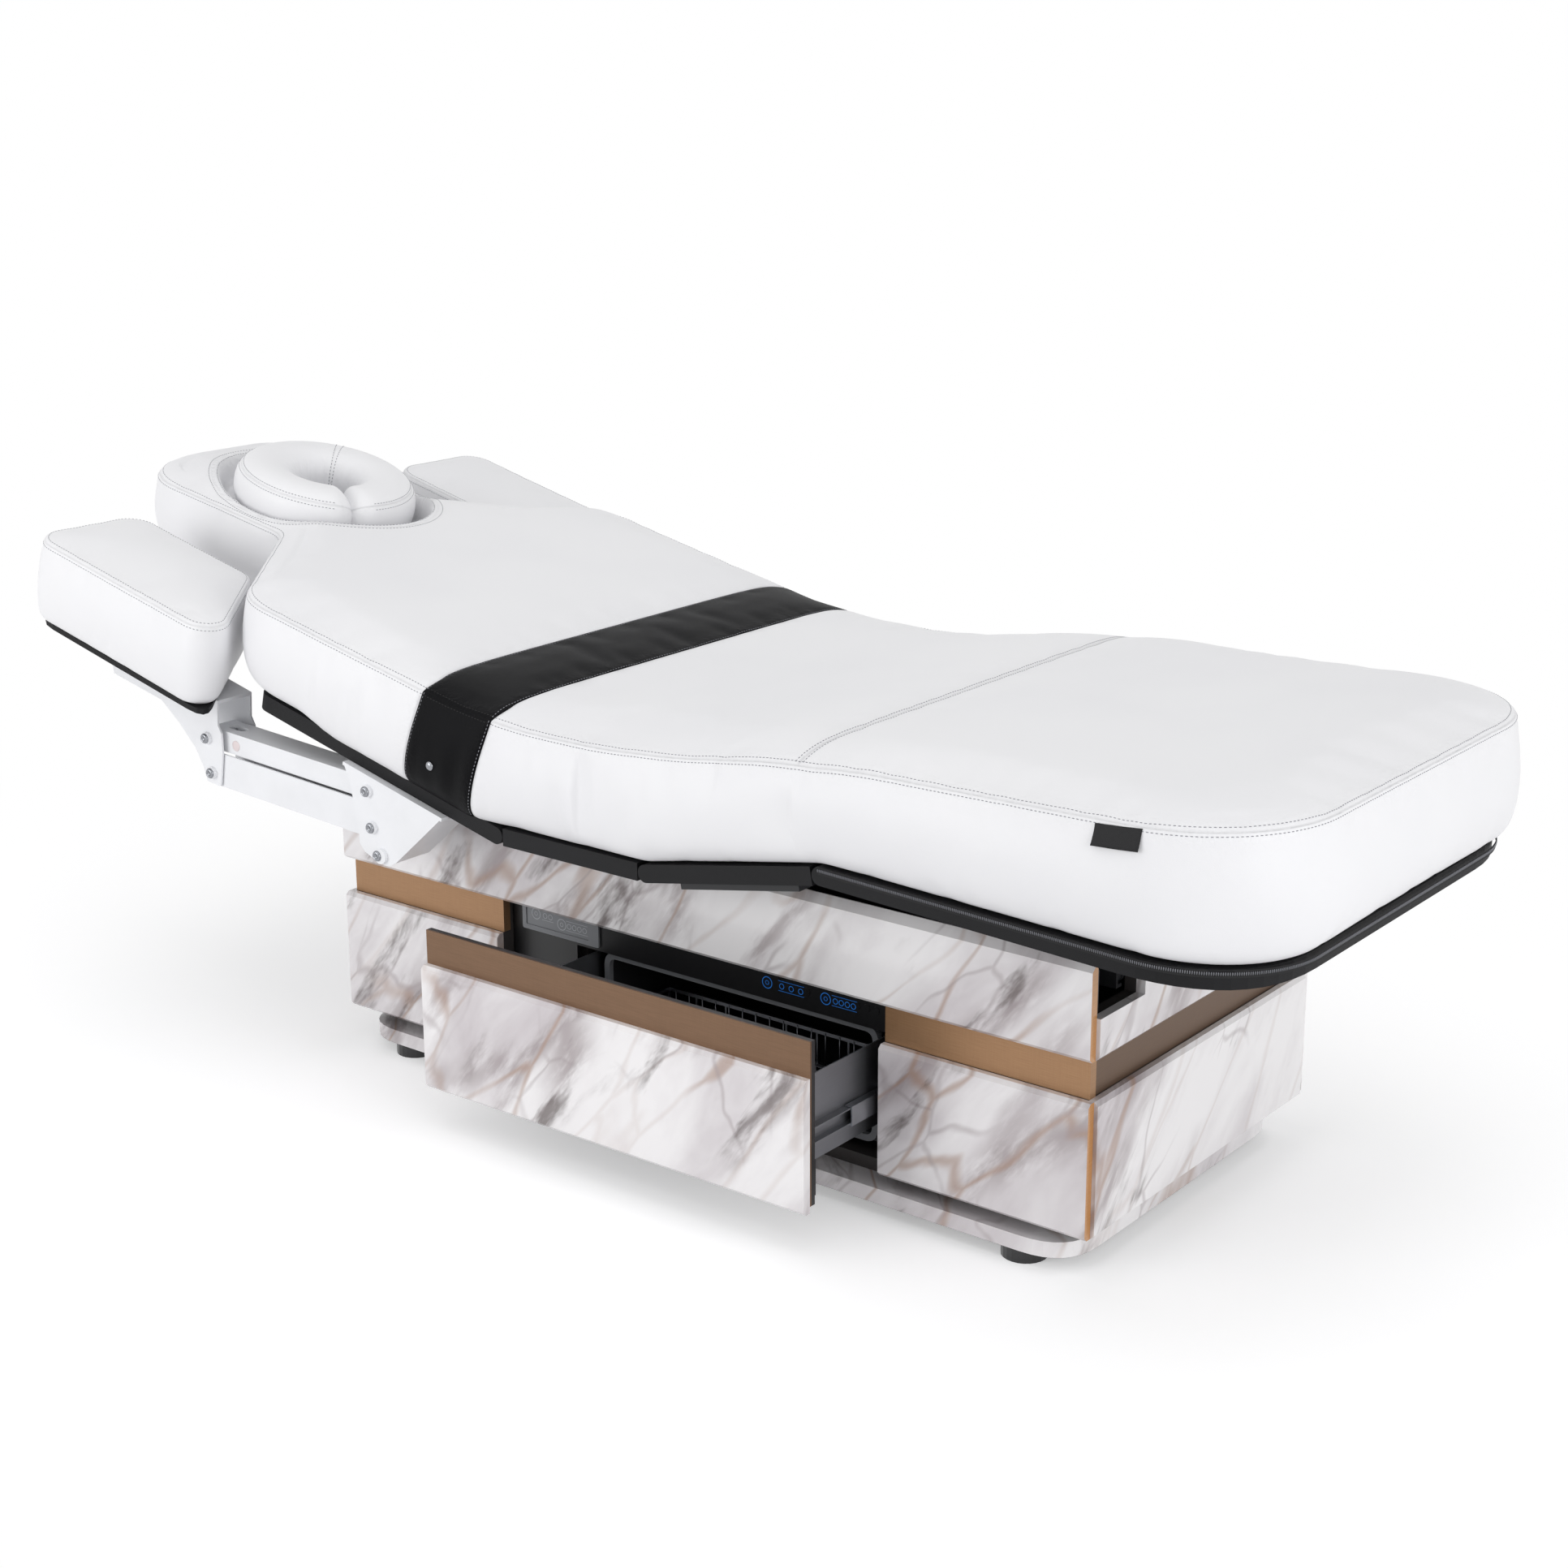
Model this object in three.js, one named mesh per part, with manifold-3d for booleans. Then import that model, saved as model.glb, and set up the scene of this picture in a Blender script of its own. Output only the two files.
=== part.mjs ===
// Powered treatment table: a marble-clad cabinet with a heated towel drawer and a scissor lift,
// and an upholstered top in four sections with a face pillow and two parallelogram armrests.
// Millimetres. +X points to the foot end, +Y away from the drawer, +Z up.
import * as THREE from "three";
import { mergeVertices } from "three/addons/utils/BufferGeometryUtils.js";
import Module from "manifold-3d";

const wasm = await Module();
wasm.setup();

// Driving dimensions of the cabinet
const cabinetLength = 1270;
const cabinetFront = 281;
const cabinetBack = 282;
const slabThickness = 12.7;
const footHeight = 18;
const plinthThickness = 21;
const baseHeight = 18;
const lowerPanelHeight = 178;
const bandHeight = 52;
const upperPanelHeight = 125;
const bandRecess = 15;
const bandBacking = 2;
const drawerOpening = 658;
const drawerTravel = 150;

// Driving dimensions of the lift
const armLength = 1195;
const lowerPivotZ = 276;
const upperPivotZ = 359;
const scissorHalfWidth = 170;

// Driving dimensions of the top
const boardHalfWidth = 382;
const boardThickness = 24;
const seatHingeZ = 427;
const backHingeX = -225;
const thighHingeX = 36;
const thighLength = 282;
const legLength = 574;
const backBoardLength = 985;
const backTrayLength = 400;
const legTrayLength = 288;
const legTrayHalfWidth = 300;
const backAngle = THREE.MathUtils.degToRad(13.8);
const thighAngle = THREE.MathUtils.degToRad(11);
const legAngle = THREE.MathUtils.degToRad(-2.2);
const mattressHalfWidth = 394;
const headHalfWidth = 164;

// Clearances and overruns
const clearance = 0.3;
const runningGap = 0.5;
const overrun = 5;
const jointGap = 2;
const overlap = 1;

// Heights that follow from the cabinet's stack
const plinthTop = footHeight + plinthThickness;
const baseTop = plinthTop + baseHeight;
const lowerTop = baseTop + lowerPanelHeight;
const bandTop = lowerTop + bandHeight;
const upperTop = bandTop + upperPanelHeight;

const marble = look(0xefecec, 0.12, 0);
const bronze = look(0xa0744e, 0.35, 0.7);
const darkBoard = look(0x17181a, 0.7, 0);
const steel = look(0x8a8d91, 0.35, 0.8);
const darkSteel = look(0x3a3c40, 0.5, 0.6);
const whitePaint = look(0xf2f3f4, 0.35, 0.1);
const whiteLeather = look(0xf3f2f1, 0.5, 0);
const blackLeather = look(0x151516, 0.45, 0);
const blackVinyl = look(0x1c1c1f, 0.55, 0);
const rubberGrey = look(0x54585c, 0.8, 0);

function look(color, roughness, metalness) {
  return new THREE.MeshStandardMaterial({ color, roughness, metalness });
}

// Closed meshes to solids and back
function toSolid(geometry) {
  const loose = geometry.index ? geometry.toNonIndexed() : geometry.clone();
  const bare = new THREE.BufferGeometry().setAttribute("position", loose.getAttribute("position"));
  const merged = mergeVertices(bare, 1e-3);
  return new wasm.Manifold(
    new wasm.Mesh({
      numProp: 3,
      vertProperties: merged.attributes.position.array,
      triVerts: new Uint32Array(merged.index.array),
    }),
  );
}

function fromSolid(solid) {
  const mesh = solid.getMesh();
  const geometry = new THREE.BufferGeometry();
  geometry.setAttribute("position", new THREE.BufferAttribute(mesh.vertProperties, mesh.numProp));
  geometry.setIndex(new THREE.BufferAttribute(mesh.triVerts, 1));
  const flat = geometry.toNonIndexed();
  flat.computeVertexNormals();
  return flat;
}

function join(...geometries) {
  return fromSolid(geometries.map(toSolid).reduce((a, b) => a.add(b)));
}

function cut(geometry, ...tools) {
  return fromSolid(tools.map(toSolid).reduce((a, b) => a.subtract(b), toSolid(geometry)));
}

// Plain forms, placed by their limits
function box(x0, x1, y0, y1, z0, z1) {
  const form = new THREE.BoxGeometry(x1 - x0, y1 - y0, z1 - z0);
  return form.translate((x0 + x1) / 2, (y0 + y1) / 2, (z0 + z1) / 2);
}

function rodY(x, z, radius, y0, y1, sides = 20) {
  const form = new THREE.CylinderGeometry(radius, radius, y1 - y0, sides);
  return form.translate(x, (y0 + y1) / 2, z);
}

function rodZ(x, y, radius, z0, z1, sides = 24) {
  const form = new THREE.CylinderGeometry(radius, radius, z1 - z0, sides);
  return form.rotateX(Math.PI / 2).translate(x, y, (z0 + z1) / 2);
}

// Extrusions: alongZ takes an x,y outline, alongY an x,z outline and alongX a y,z outline
function extruded(shape, depth, curveSegments) {
  return new THREE.ExtrudeGeometry(shape, { depth, bevelEnabled: false, curveSegments });
}

function alongZ(shape, z0, z1, curveSegments = 8) {
  return extruded(shape, z1 - z0, curveSegments).translate(0, 0, z0);
}

function alongY(shape, y0, y1, curveSegments = 8) {
  return extruded(shape, y1 - y0, curveSegments).rotateX(Math.PI / 2).translate(0, y1, 0);
}

function alongX(shape, x0, x1, curveSegments = 8) {
  const turn = new THREE.Matrix4().makeBasis(
    new THREE.Vector3(0, 1, 0),
    new THREE.Vector3(0, 0, 1),
    new THREE.Vector3(1, 0, 0),
  );
  return extruded(shape, x1 - x0, curveSegments).applyMatrix4(turn).translate(x0, 0, 0);
}

// A closed outline whose corners are rounded by their own radius (0 keeps a corner sharp)
function outline(points, radii = []) {
  const shape = new THREE.Shape();
  const corners = points.map(([u, v]) => new THREE.Vector2(u, v));
  corners.forEach((corner, i) => {
    const before = corners[(i + corners.length - 1) % corners.length];
    const after = corners[(i + 1) % corners.length];
    const radius = Array.isArray(radii) ? (radii[i] ?? 0) : radii;
    const entry = corner.clone().add(before.clone().sub(corner).setLength(radius));
    const exit = corner.clone().add(after.clone().sub(corner).setLength(radius));
    if (i === 0) shape.moveTo(entry.x, entry.y);
    else shape.lineTo(entry.x, entry.y);
    if (radius > 0) shape.quadraticCurveTo(corner.x, corner.y, exit.x, exit.y);
  });
  shape.closePath();
  return shape;
}

function rectangle(u0, u1, v0, v1, radius = 0) {
  return outline([[u0, v0], [u1, v0], [u1, v1], [u0, v1]], radius);
}

function framed(outer, inner) {
  outer.holes.push(inner);
  return outer;
}

function add(group, name, geometry, material) {
  const mesh = new THREE.Mesh(geometry, material);
  mesh.name = name;
  group.add(mesh);
  return mesh;
}

// Cabinet: plinth, carcass, marble slabs and bronze bands
const plinth = {
  halfLength: 614,
  front: 281,
  back: 262,
  cornerRadius: 70,
  footRadius: 30,
  footX: 532,
  footFront: 250,
  footBack: 231,
};

function plinthWithFeet() {
  const board = alongZ(
    rectangle(-plinth.halfLength, plinth.halfLength, -plinth.front, plinth.back, plinth.cornerRadius),
    footHeight,
    plinthTop,
  );
  const feet = [-plinth.footX, plinth.footX].flatMap((x) =>
    [-plinth.footFront, plinth.footBack].map((y) => rodZ(x, y, plinth.footRadius, 0, footHeight + overlap)),
  );
  return join(board, ...feet);
}

const carcass = {
  baseInset: 28,
  wall: 15,
  bayCentreX: 57.5,
  bayHalfWidth: 264.8,
  bayDepth: 378,
  bayRoof: 238,
  deckTop: 250,
  fasciaDepth: 20,
  rimTopGap: 16,
  notchTop: 340,
  notchFrom: -254,
  notchTo: -166,
};
const slabInnerX = cabinetLength / 2 - slabThickness / 2;
const coreX = slabInnerX - 1;
const coreFront = cabinetFront - slabThickness;
const coreBack = cabinetBack - slabThickness;
const bandX = coreX - bandRecess;
const bandFront = coreFront - bandRecess;
const bandBack = coreBack - bandRecess;
const fasciaFrontY = -(coreFront - carcass.fasciaDepth);

function carcassBody() {
  const inset = carcass.baseInset;
  const reach = coreX - inset;
  const base = box(-reach, reach, inset - coreFront, coreBack - inset, plinthTop, baseTop + overlap);
  const core = box(-coreX, coreX, -coreFront, coreBack, baseTop, lowerTop);
  const deck = box(-bandX, bandX, -bandFront, bandBack, lowerTop - overlap, carcass.deckTop);
  const wall = carcass.wall;
  const rimTop = upperTop - carcass.rimTopGap;
  const lowWalls = [
    box(-bandX, bandX, -bandFront, wall - bandFront, carcass.deckTop - overlap, bandTop + wall),
    box(-bandX, bandX, bandBack - wall, bandBack, carcass.deckTop - overlap, bandTop + wall),
  ];
  const highRim = alongZ(
    framed(
      rectangle(-coreX, coreX, -coreFront, coreBack),
      rectangle(overlap - bandX, bandX - overlap, overlap - bandFront, bandBack - overlap),
    ),
    bandTop,
    rimTop,
  );
  const bay = box(
    carcass.bayCentreX - carcass.bayHalfWidth,
    carcass.bayCentreX + carcass.bayHalfWidth,
    -coreFront - overrun,
    carcass.bayDepth - coreFront,
    baseTop,
    carcass.bayRoof,
  );
  const half = drawerOpening / 2;
  const mouth = box(-half, half, -coreFront - overrun, fasciaFrontY + carcass.fasciaDepth, baseTop, bandTop);
  const [low, high] = [carcass.notchTop, rimTop + overrun];
  const notch = box(bandX - overrun * 2, coreX + overrun, carcass.notchFrom, carcass.notchTo, low, high);
  return cut(join(base, core, deck, ...lowWalls, highRim), bay, mouth, notch);
}

// A slab standing behind the front face, with its long outer edges eased
function slabOutline(near, far, z0, z1, ease, topEase) {
  return outline([
    [near + ease, z0],
    [far, z0],
    [far, z1],
    [near + topEase, z1],
    [near, z1 - topEase],
    [near, z0 + ease],
  ]);
}

const slab = { ease: 5, topEase: 11, endGap: 1, notchTop: 341, notchSide: 18 };

function frontSlab(x0, x1, z0, z1, topEase) {
  return alongX(slabOutline(-cabinetFront, -coreFront, z0, z1, slab.ease, topEase), x0, x1);
}

function backSlab(z0, z1, topEase) {
  const mirrored = outline([
    [coreBack, z0],
    [cabinetBack - slab.ease, z0],
    [cabinetBack, z0 + slab.ease],
    [cabinetBack, z1 - topEase],
    [cabinetBack - topEase, z1],
    [coreBack, z1],
  ]);
  return alongX(mirrored, -cabinetLength / 2, cabinetLength / 2);
}

function endSlab(side, z0, z1, topEase) {
  const outer = side * (coreX + slabThickness);
  const section = outline(
    [
      [side * coreX, z0],
      [outer - side * slab.ease, z0],
      [outer, z0 + slab.ease],
      [outer, z1 - topEase],
      [outer - side * topEase, z1],
      [side * coreX, z1],
    ],
  );
  return alongY(section, -coreFront, coreBack - slab.endGap);
}

function footEndUpperSlab() {
  const whole = endSlab(1, bandTop, upperTop, slab.topEase);
  const notch = alongX(
    outline([
      [-cabinetFront, slab.notchTop],
      [carcass.notchTo, slab.notchTop],
      [carcass.notchTo, slab.notchTop + slab.notchSide],
      [carcass.notchTo + slab.notchSide, upperTop + overrun],
      [-cabinetFront, upperTop + overrun],
    ]),
    coreX - overrun,
    coreX + slabThickness + overrun,
  );
  return cut(whole, notch);
}

function addCabinet(root) {
  const half = drawerOpening / 2;
  const end = cabinetLength / 2;
  add(root, "plinth_with_feet", plinthWithFeet(), marble);
  add(root, "carcass", carcassBody(), darkBoard);
  add(root, "front_lower_left_panel", frontSlab(-end, -half, baseTop, lowerTop, slab.ease), marble);
  add(root, "front_lower_right_panel", frontSlab(half, end, baseTop, lowerTop, slab.ease), marble);
  add(root, "front_upper_panel", frontSlab(-end, end, bandTop, upperTop, slab.topEase), marble);
  add(root, "foot_end_lower_panel", endSlab(1, baseTop, lowerTop, slab.ease), marble);
  add(root, "foot_end_upper_panel", footEndUpperSlab(), marble);
  add(root, "head_end_lower_panel", endSlab(-1, baseTop, lowerTop, slab.ease), marble);
  add(root, "head_end_upper_panel", endSlab(-1, bandTop, upperTop, slab.topEase), marble);
  add(root, "back_lower_panel", backSlab(baseTop, lowerTop, slab.ease), marble);
  add(root, "back_upper_panel", backSlab(bandTop, upperTop, slab.topEase), marble);
  const bandFace = bandFront + bandRecess - bandBacking;
  add(root, "front_band_left", box(-coreX, -half, -bandFace, -bandFront, lowerTop, bandTop), bronze);
  add(root, "front_band_right", box(half, coreX, -bandFace, -bandFront, lowerTop, bandTop), bronze);
  const bandDepth = bandRecess - bandBacking;
  const ring = outline([
    [-bandX - bandDepth, -bandFront],
    [-bandX, -bandFront],
    [-bandX, bandBack],
    [bandX, bandBack],
    [bandX, -bandFront],
    [bandX + bandDepth, -bandFront],
    [bandX + bandDepth, bandBack + bandDepth],
    [-bandX - bandDepth, bandBack + bandDepth],
  ]);
  add(root, "rear_band", alongZ(ring, lowerTop, bandTop), bronze);
}

// Heated compartment behind the drawer
const cavity = {
  halfWidth: 233.5,
  bottom: 70,
  top: 231,
  ringY: -228,
  ringDepth: 8,
  bar: 9,
  cornerRadius: 22,
  depth: 298,
  sheet: 2,
  skidWidth: 30,
  skidInset: 40,
  flange: 3,
};

function cavityGasket() {
  const x = carcass.bayCentreX;
  const h = cavity.halfWidth;
  const b = cavity.bar;
  const ring = framed(
    rectangle(x - h, x + h, cavity.bottom, cavity.top, cavity.cornerRadius),
    rectangle(x - h + b, x + h - b, cavity.bottom + b, cavity.top - b, cavity.cornerRadius - b),
  );
  return alongY(ring, cavity.ringY, cavity.ringY + cavity.ringDepth);
}

function cavityLiner() {
  const x = carcass.bayCentreX;
  const h = cavity.halfWidth;
  const b = cavity.bar;
  const start = cavity.ringY + cavity.ringDepth;
  const end = start + cavity.depth;
  const low = cavity.bottom + b;
  const high = cavity.top - b;
  const flange = box(x - h, x + h, start, start + cavity.flange, cavity.bottom, cavity.top);
  const s = cavity.sheet;
  const shell = box(x - h + b - s, x + h - b + s, start, end, low - s, high + s);
  const hollow = box(x - h + b, x + h - b, start - overrun, end - s, low, high);
  const skids = [-1, 1].map((side) => {
    const centre = x + side * (h - cavity.skidInset - cavity.skidWidth / 2);
    const half = cavity.skidWidth / 2;
    return box(centre - half, centre + half, start + cavity.skidInset, end - cavity.skidInset, baseTop, low - s + 1);
  });
  return cut(join(flange, shell, ...skids), hollow);
}

const fascia = {
  thickness: 6,
  sideGap: 1,
  ringRadius: 9,
  ringHeight: 1,
  smallRadius: 5,
  controlZ: 264,
  groupX: [142, 237],
  groupGap: 20,
  smallPitch: 15,
  smallCount: [3, 4],
};

function controlFascia() {
  const half = drawerOpening / 2 - fascia.sideGap;
  const front = fasciaFrontY;
  const back = front + fascia.thickness;
  const bayLeft = carcass.bayCentreX - carcass.bayHalfWidth;
  const shape = outline([
    [-half, baseTop],
    [bayLeft, baseTop],
    [bayLeft, carcass.bayRoof],
    [half, carcass.bayRoof],
    [half, bandTop],
    [-half, bandTop],
  ]);
  const plate = alongY(shape, front, back);
  const rings = fascia.groupX.flatMap((x, g) => {
    const big = rodY(x, fascia.controlZ, fascia.ringRadius, front - fascia.ringHeight, front + overlap, 16);
    const small = Array.from({ length: fascia.smallCount[g] }, (_, i) =>
      rodY(
        x + fascia.groupGap + i * fascia.smallPitch,
        fascia.controlZ,
        fascia.smallRadius,
        front - fascia.ringHeight,
        front + overlap,
        10,
      ),
    );
    return [big, ...small];
  });
  return join(plate, ...rings);
}

const switchPanel = {
  left: -307,
  right: -165,
  bottom: 243,
  top: 283,
  depth: 3,
  frame: 7,
  panelDepth: 1.5,
  tilt: 12,
};

function controlModule() {
  const face = fasciaFrontY;
  const frame = alongY(
    rectangle(switchPanel.left, switchPanel.right, switchPanel.bottom, switchPanel.top, switchPanel.frame / 2),
    face - switchPanel.depth,
    face,
  );
  const recess = alongY(
    outline([
      [switchPanel.left + switchPanel.frame, switchPanel.bottom + switchPanel.frame],
      [switchPanel.right - switchPanel.frame - switchPanel.tilt, switchPanel.bottom + switchPanel.frame],
      [switchPanel.right - switchPanel.frame, switchPanel.bottom + switchPanel.frame + switchPanel.tilt],
      [switchPanel.right - switchPanel.frame, switchPanel.top - switchPanel.frame],
      [switchPanel.left + switchPanel.frame, switchPanel.top - switchPanel.frame],
    ]),
    face - switchPanel.depth - overrun,
    face - switchPanel.depth + switchPanel.panelDepth,
  );
  return cut(frame, recess);
}

// Telescopic drawer slides: nested channels, side +1 to the right and -1 to the left
const slide = { length: 300, bottom: 135, top: 166, sheet: 1.7, step: 2.3, startY: -248 };
const drawerSide = { sheet: 2, bottom: 111, top: 226, backLength: 306 };
const innerPanelHalf = 247.5;
const slideFaceX = innerPanelHalf + drawerSide.sheet;

function channelSlide(side, webFar, webNear, flangeNear, z0, z1, y0) {
  const s = slide.sheet;
  const centre = carcass.bayCentreX;
  const at = (u) => centre + side * u;
  const bar = (u0, u1, v0, v1) =>
    box(Math.min(at(u0), at(u1)), Math.max(at(u0), at(u1)), y0, y0 + slide.length, v0, v1);
  return join(
    bar(webNear, webFar, z0, z1),
    bar(flangeNear, webFar, z0, z0 + s),
    bar(flangeNear, webFar, z1 - s, z1),
  );
}

function outerSlide(side) {
  const far = carcass.bayHalfWidth - clearance;
  return channelSlide(side, far, far - slide.sheet, slideFaceX + slide.step, slide.bottom, slide.top, slide.startY);
}

function middleSlide(side) {
  const far = carcass.bayHalfWidth - clearance - slide.sheet - runningGap;
  return channelSlide(
    side,
    far,
    far - slide.sheet,
    slideFaceX + slide.step,
    slide.bottom + slide.step,
    slide.top - slide.step,
    slide.startY - drawerTravel / 2,
  );
}

function drawerSidePlate(side) {
  const at = (u) => carcass.bayCentreX + side * u;
  const span = (u0, u1) => [Math.min(at(u0), at(u1)), Math.max(at(u0), at(u1))];
  const y0 = drawer.panelBack - drawer.panelThickness;
  const sheet = box(...span(innerPanelHalf, slideFaceX), y0, y0 + drawerSide.backLength, drawerSide.bottom, drawerSide.top);
  const low = slide.bottom + 2 * slide.step;
  const high = slide.top - 2 * slide.step;
  const far = carcass.bayHalfWidth - clearance - 2 * slide.sheet - 2 * runningGap;
  const start = slide.startY - drawerTravel;
  const web = box(...span(slideFaceX - runningGap, slideFaceX + slide.sheet), start, start + slide.length, low, high);
  const lips = [low, high - slide.sheet].map((z) =>
    box(...span(slideFaceX, far), start, start + slide.length, z, z + slide.sheet),
  );
  return join(sheet, web, ...lips);
}

// Drawer, standing open
const drawer = {
  gap: 2.5,
  frontY: -431,
  bandThickness: 3,
  backing: 7,
  bandRise: 48,
  backingDrop: 9,
  panelThickness: 12.8,
  panelBack: -378.2,
  panelBottom: 60.5,
  panelTop: 232,
  standoffRadius: 8,
  standoffInset: 40,
};
const drawerSlabBack = drawer.frontY + slabThickness;
const drawerBackingFront = drawerSlabBack + drawer.bandThickness;
const drawerBackingBack = drawerBackingFront + drawer.backing;

function drawerFront() {
  const half = drawerOpening / 2 - drawer.gap;
  const section = slabOutline(drawer.frontY, drawerSlabBack, baseTop, lowerTop, slab.ease, slab.ease);
  return alongX(section, -half, half);
}

function drawerInnerPanel() {
  const x = carcass.bayCentreX;
  const front = drawer.panelBack - drawer.panelThickness;
  const panel = box(
    x - innerPanelHalf,
    x + innerPanelHalf,
    front,
    drawer.panelBack,
    drawer.panelBottom,
    drawer.panelTop,
  );
  const inset = drawer.standoffInset;
  const standoffs = [-1, 1].flatMap((side) =>
    [drawer.panelBottom + inset, drawer.panelTop - inset].map((z) =>
      rodY(x + side * (innerPanelHalf - inset), z, drawer.standoffRadius, drawerBackingBack, front + overlap, 12),
    ),
  );
  return join(panel, ...standoffs);
}

const basket = {
  sideGap: 12,
  wire: 3,
  rimWire: 5,
  inset: 0.7,
  floorZ: 96,
  rimZ: 150,
  depth: 262,
  pitch: 54,
};

// Square wires, each set a little inside its neighbours' outer faces
function basketWires() {
  const x0 = carcass.bayCentreX - cavity.halfWidth + cavity.bar + basket.sideGap;
  const x1 = carcass.bayCentreX + cavity.halfWidth - cavity.bar - basket.sideGap;
  const y0 = drawer.panelBack;
  const y1 = y0 + basket.depth;
  const w = basket.wire;
  const inset = basket.inset;
  const across = Math.round((x1 - x0) / basket.pitch);
  const along = Math.round((y1 - y0) / basket.pitch);
  const ringAt = (z, t) => [
    box(x0, x1, y0, y0 + t, z, z + t),
    box(x0, x1, y1 - t, y1, z, z + t),
    box(x0, x0 + t, y0, y1, z, z + t),
    box(x1 - t, x1, y0, y1, z, z + t),
  ];
  const low = basket.floorZ;
  const high = basket.rimZ - inset;
  const wires = [...ringAt(basket.rimZ - basket.rimWire, basket.rimWire), ...ringAt(low, basket.rimWire)];
  for (let i = 1; i < across; i += 1) {
    const x = x0 + ((x1 - x0) * i) / across - w / 2;
    wires.push(box(x, x + w, y0 + inset, y1 - inset, low + inset, low + inset + w));
    wires.push(box(x, x + w, y1 - inset - w, y1 - inset, low + inset, high));
  }
  for (let i = 1; i < along; i += 1) {
    const y = y0 + ((y1 - y0) * i) / along - w / 2;
    wires.push(box(x0 + inset, x1 - inset, y, y + w, low + 2 * inset, low + 2 * inset + w));
    wires.push(box(x0 + inset, x0 + inset + w, y, y + w, low + 2 * inset, high));
    wires.push(box(x1 - inset - w, x1 - inset, y, y + w, low + 2 * inset, high));
  }
  const posts = [
    [x0 + inset, y0 + inset],
    [x1 - inset - w, y0 + inset],
    [x0 + inset, y1 - inset - w],
    [x1 - inset - w, y1 - inset - w],
  ].map(([x, y]) => box(x, x + w, y, y + w, low + inset, high));
  return join(...wires, ...posts);
}

function addCompartment(root) {
  add(root, "cavity_gasket", cavityGasket(), rubberGrey);
  add(root, "cavity_liner", cavityLiner(), darkSteel);
  add(root, "control_fascia", controlFascia(), darkBoard);
  add(root, "control_module", controlModule(), rubberGrey);
  add(root, "slide_outer_left", outerSlide(-1), steel);
  add(root, "slide_outer_right", outerSlide(1), steel);
  add(root, "slide_middle_left", middleSlide(-1), steel);
  add(root, "slide_middle_right", middleSlide(1), steel);
}

function addDrawer(root) {
  const half = drawerOpening / 2 - drawer.gap;
  const low = baseTop + drawer.backingDrop;
  const high = lowerTop + drawer.bandRise;
  add(root, "drawer_front", drawerFront(), marble);
  add(root, "drawer_band", box(-half, half, drawerSlabBack, drawerBackingFront, low, high), bronze);
  add(root, "drawer_backing", box(-half, half, drawerBackingFront, drawerBackingBack, low, high), darkBoard);
  add(root, "drawer_inner_panel", drawerInnerPanel(), steel);
  add(root, "drawer_side_left", drawerSidePlate(-1), steel);
  add(root, "drawer_side_right", drawerSidePlate(1), steel);
  add(root, "drawer_basket", basketWires(), steel);
}

// Scissor lift between the cabinet's deck and the platform
const lift = {
  barHeight: 36,
  endRadius: 10,
  taper: 60,
  barThickness: 8,
  barGap: 3,
  crossingWidth: 26,
  railSheet: 4,
  pinRadius: 8,
  rollerRadius: 8.5,
  rollerWidth: 9,
  tubeRadius: 13,
  tubeInset: 38,
  endMargin: 14,
  lugThickness: 6,
};
const liftRestAngle = Math.asin((upperPivotZ - lowerPivotZ) / armLength);
const rollerX = 600;
const fixedPivotX = rollerX - armLength * Math.cos(liftRestAngle);
const barOuterY = scissorHalfWidth;
const barInnerY = scissorHalfWidth - lift.barThickness - lift.barGap;
const liftMidX = (fixedPivotX + rollerX) / 2;
const railEnd = rollerX + lift.endRadius;

// One flat bar with round ends, its length along X and its pivots at 0 and armLength
function liftBar(y0, y1) {
  const r = lift.barHeight / 2;
  const e = lift.endRadius;
  const bar = alongY(
    outline([
      [0, -e],
      [lift.taper, -r],
      [armLength - lift.taper, -r],
      [armLength, -e],
      [armLength, e],
      [armLength - lift.taper, r],
      [lift.taper, r],
      [0, e],
    ]),
    y0,
    y1,
  );
  return join(bar, rodY(0, 0, e, y0, y1, 16), rodY(armLength, 0, e, y0, y1, 16));
}

function scissorOuterFrame() {
  const t = lift.barThickness;
  const y = barOuterY;
  const bars = [liftBar(-y, t - y), liftBar(y - t, y)];
  const tubes = [lift.tubeInset, armLength - lift.tubeInset].map((x) => rodY(x, 0, lift.tubeRadius, t / 2 - y, y - t / 2));
  const ends = [0, armLength].flatMap((x) => [
    rodY(x, 0, lift.rollerRadius, -y - lift.rollerWidth, -y + 1),
    rodY(x, 0, lift.rollerRadius, y - 1, y + lift.rollerWidth),
  ]);
  const middle = [-1, 1].map((side) => {
    const near = side * (y - t / 2);
    const far = side * (barInnerY - t - lift.barGap);
    return rodY(armLength / 2, 0, lift.pinRadius, Math.min(near, far), Math.max(near, far));
  });
  return join(...bars, ...tubes, ...ends, ...middle);
}

function scissorInnerFrame() {
  const t = lift.barThickness;
  const y = barInnerY;
  const bars = [liftBar(-y, t - y), liftBar(y - t, y)];
  const tubes = [lift.tubeInset, armLength - lift.tubeInset].map((x) => rodY(x, 0, lift.tubeRadius, t / 2 - y, y - t / 2));
  const bore = lift.pinRadius + runningGap;
  const bores = rodY(armLength / 2, 0, bore, -y - overrun, y + overrun);
  const ends = [0, armLength].flatMap((x) => [
    rodY(x, 0, lift.rollerRadius, -barOuterY - lift.rollerWidth, -y + 1),
    rodY(x, 0, lift.rollerRadius, y - 1, barOuterY + lift.rollerWidth),
  ]);
  return cut(join(...bars, ...tubes, ...ends), bores);
}

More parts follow.
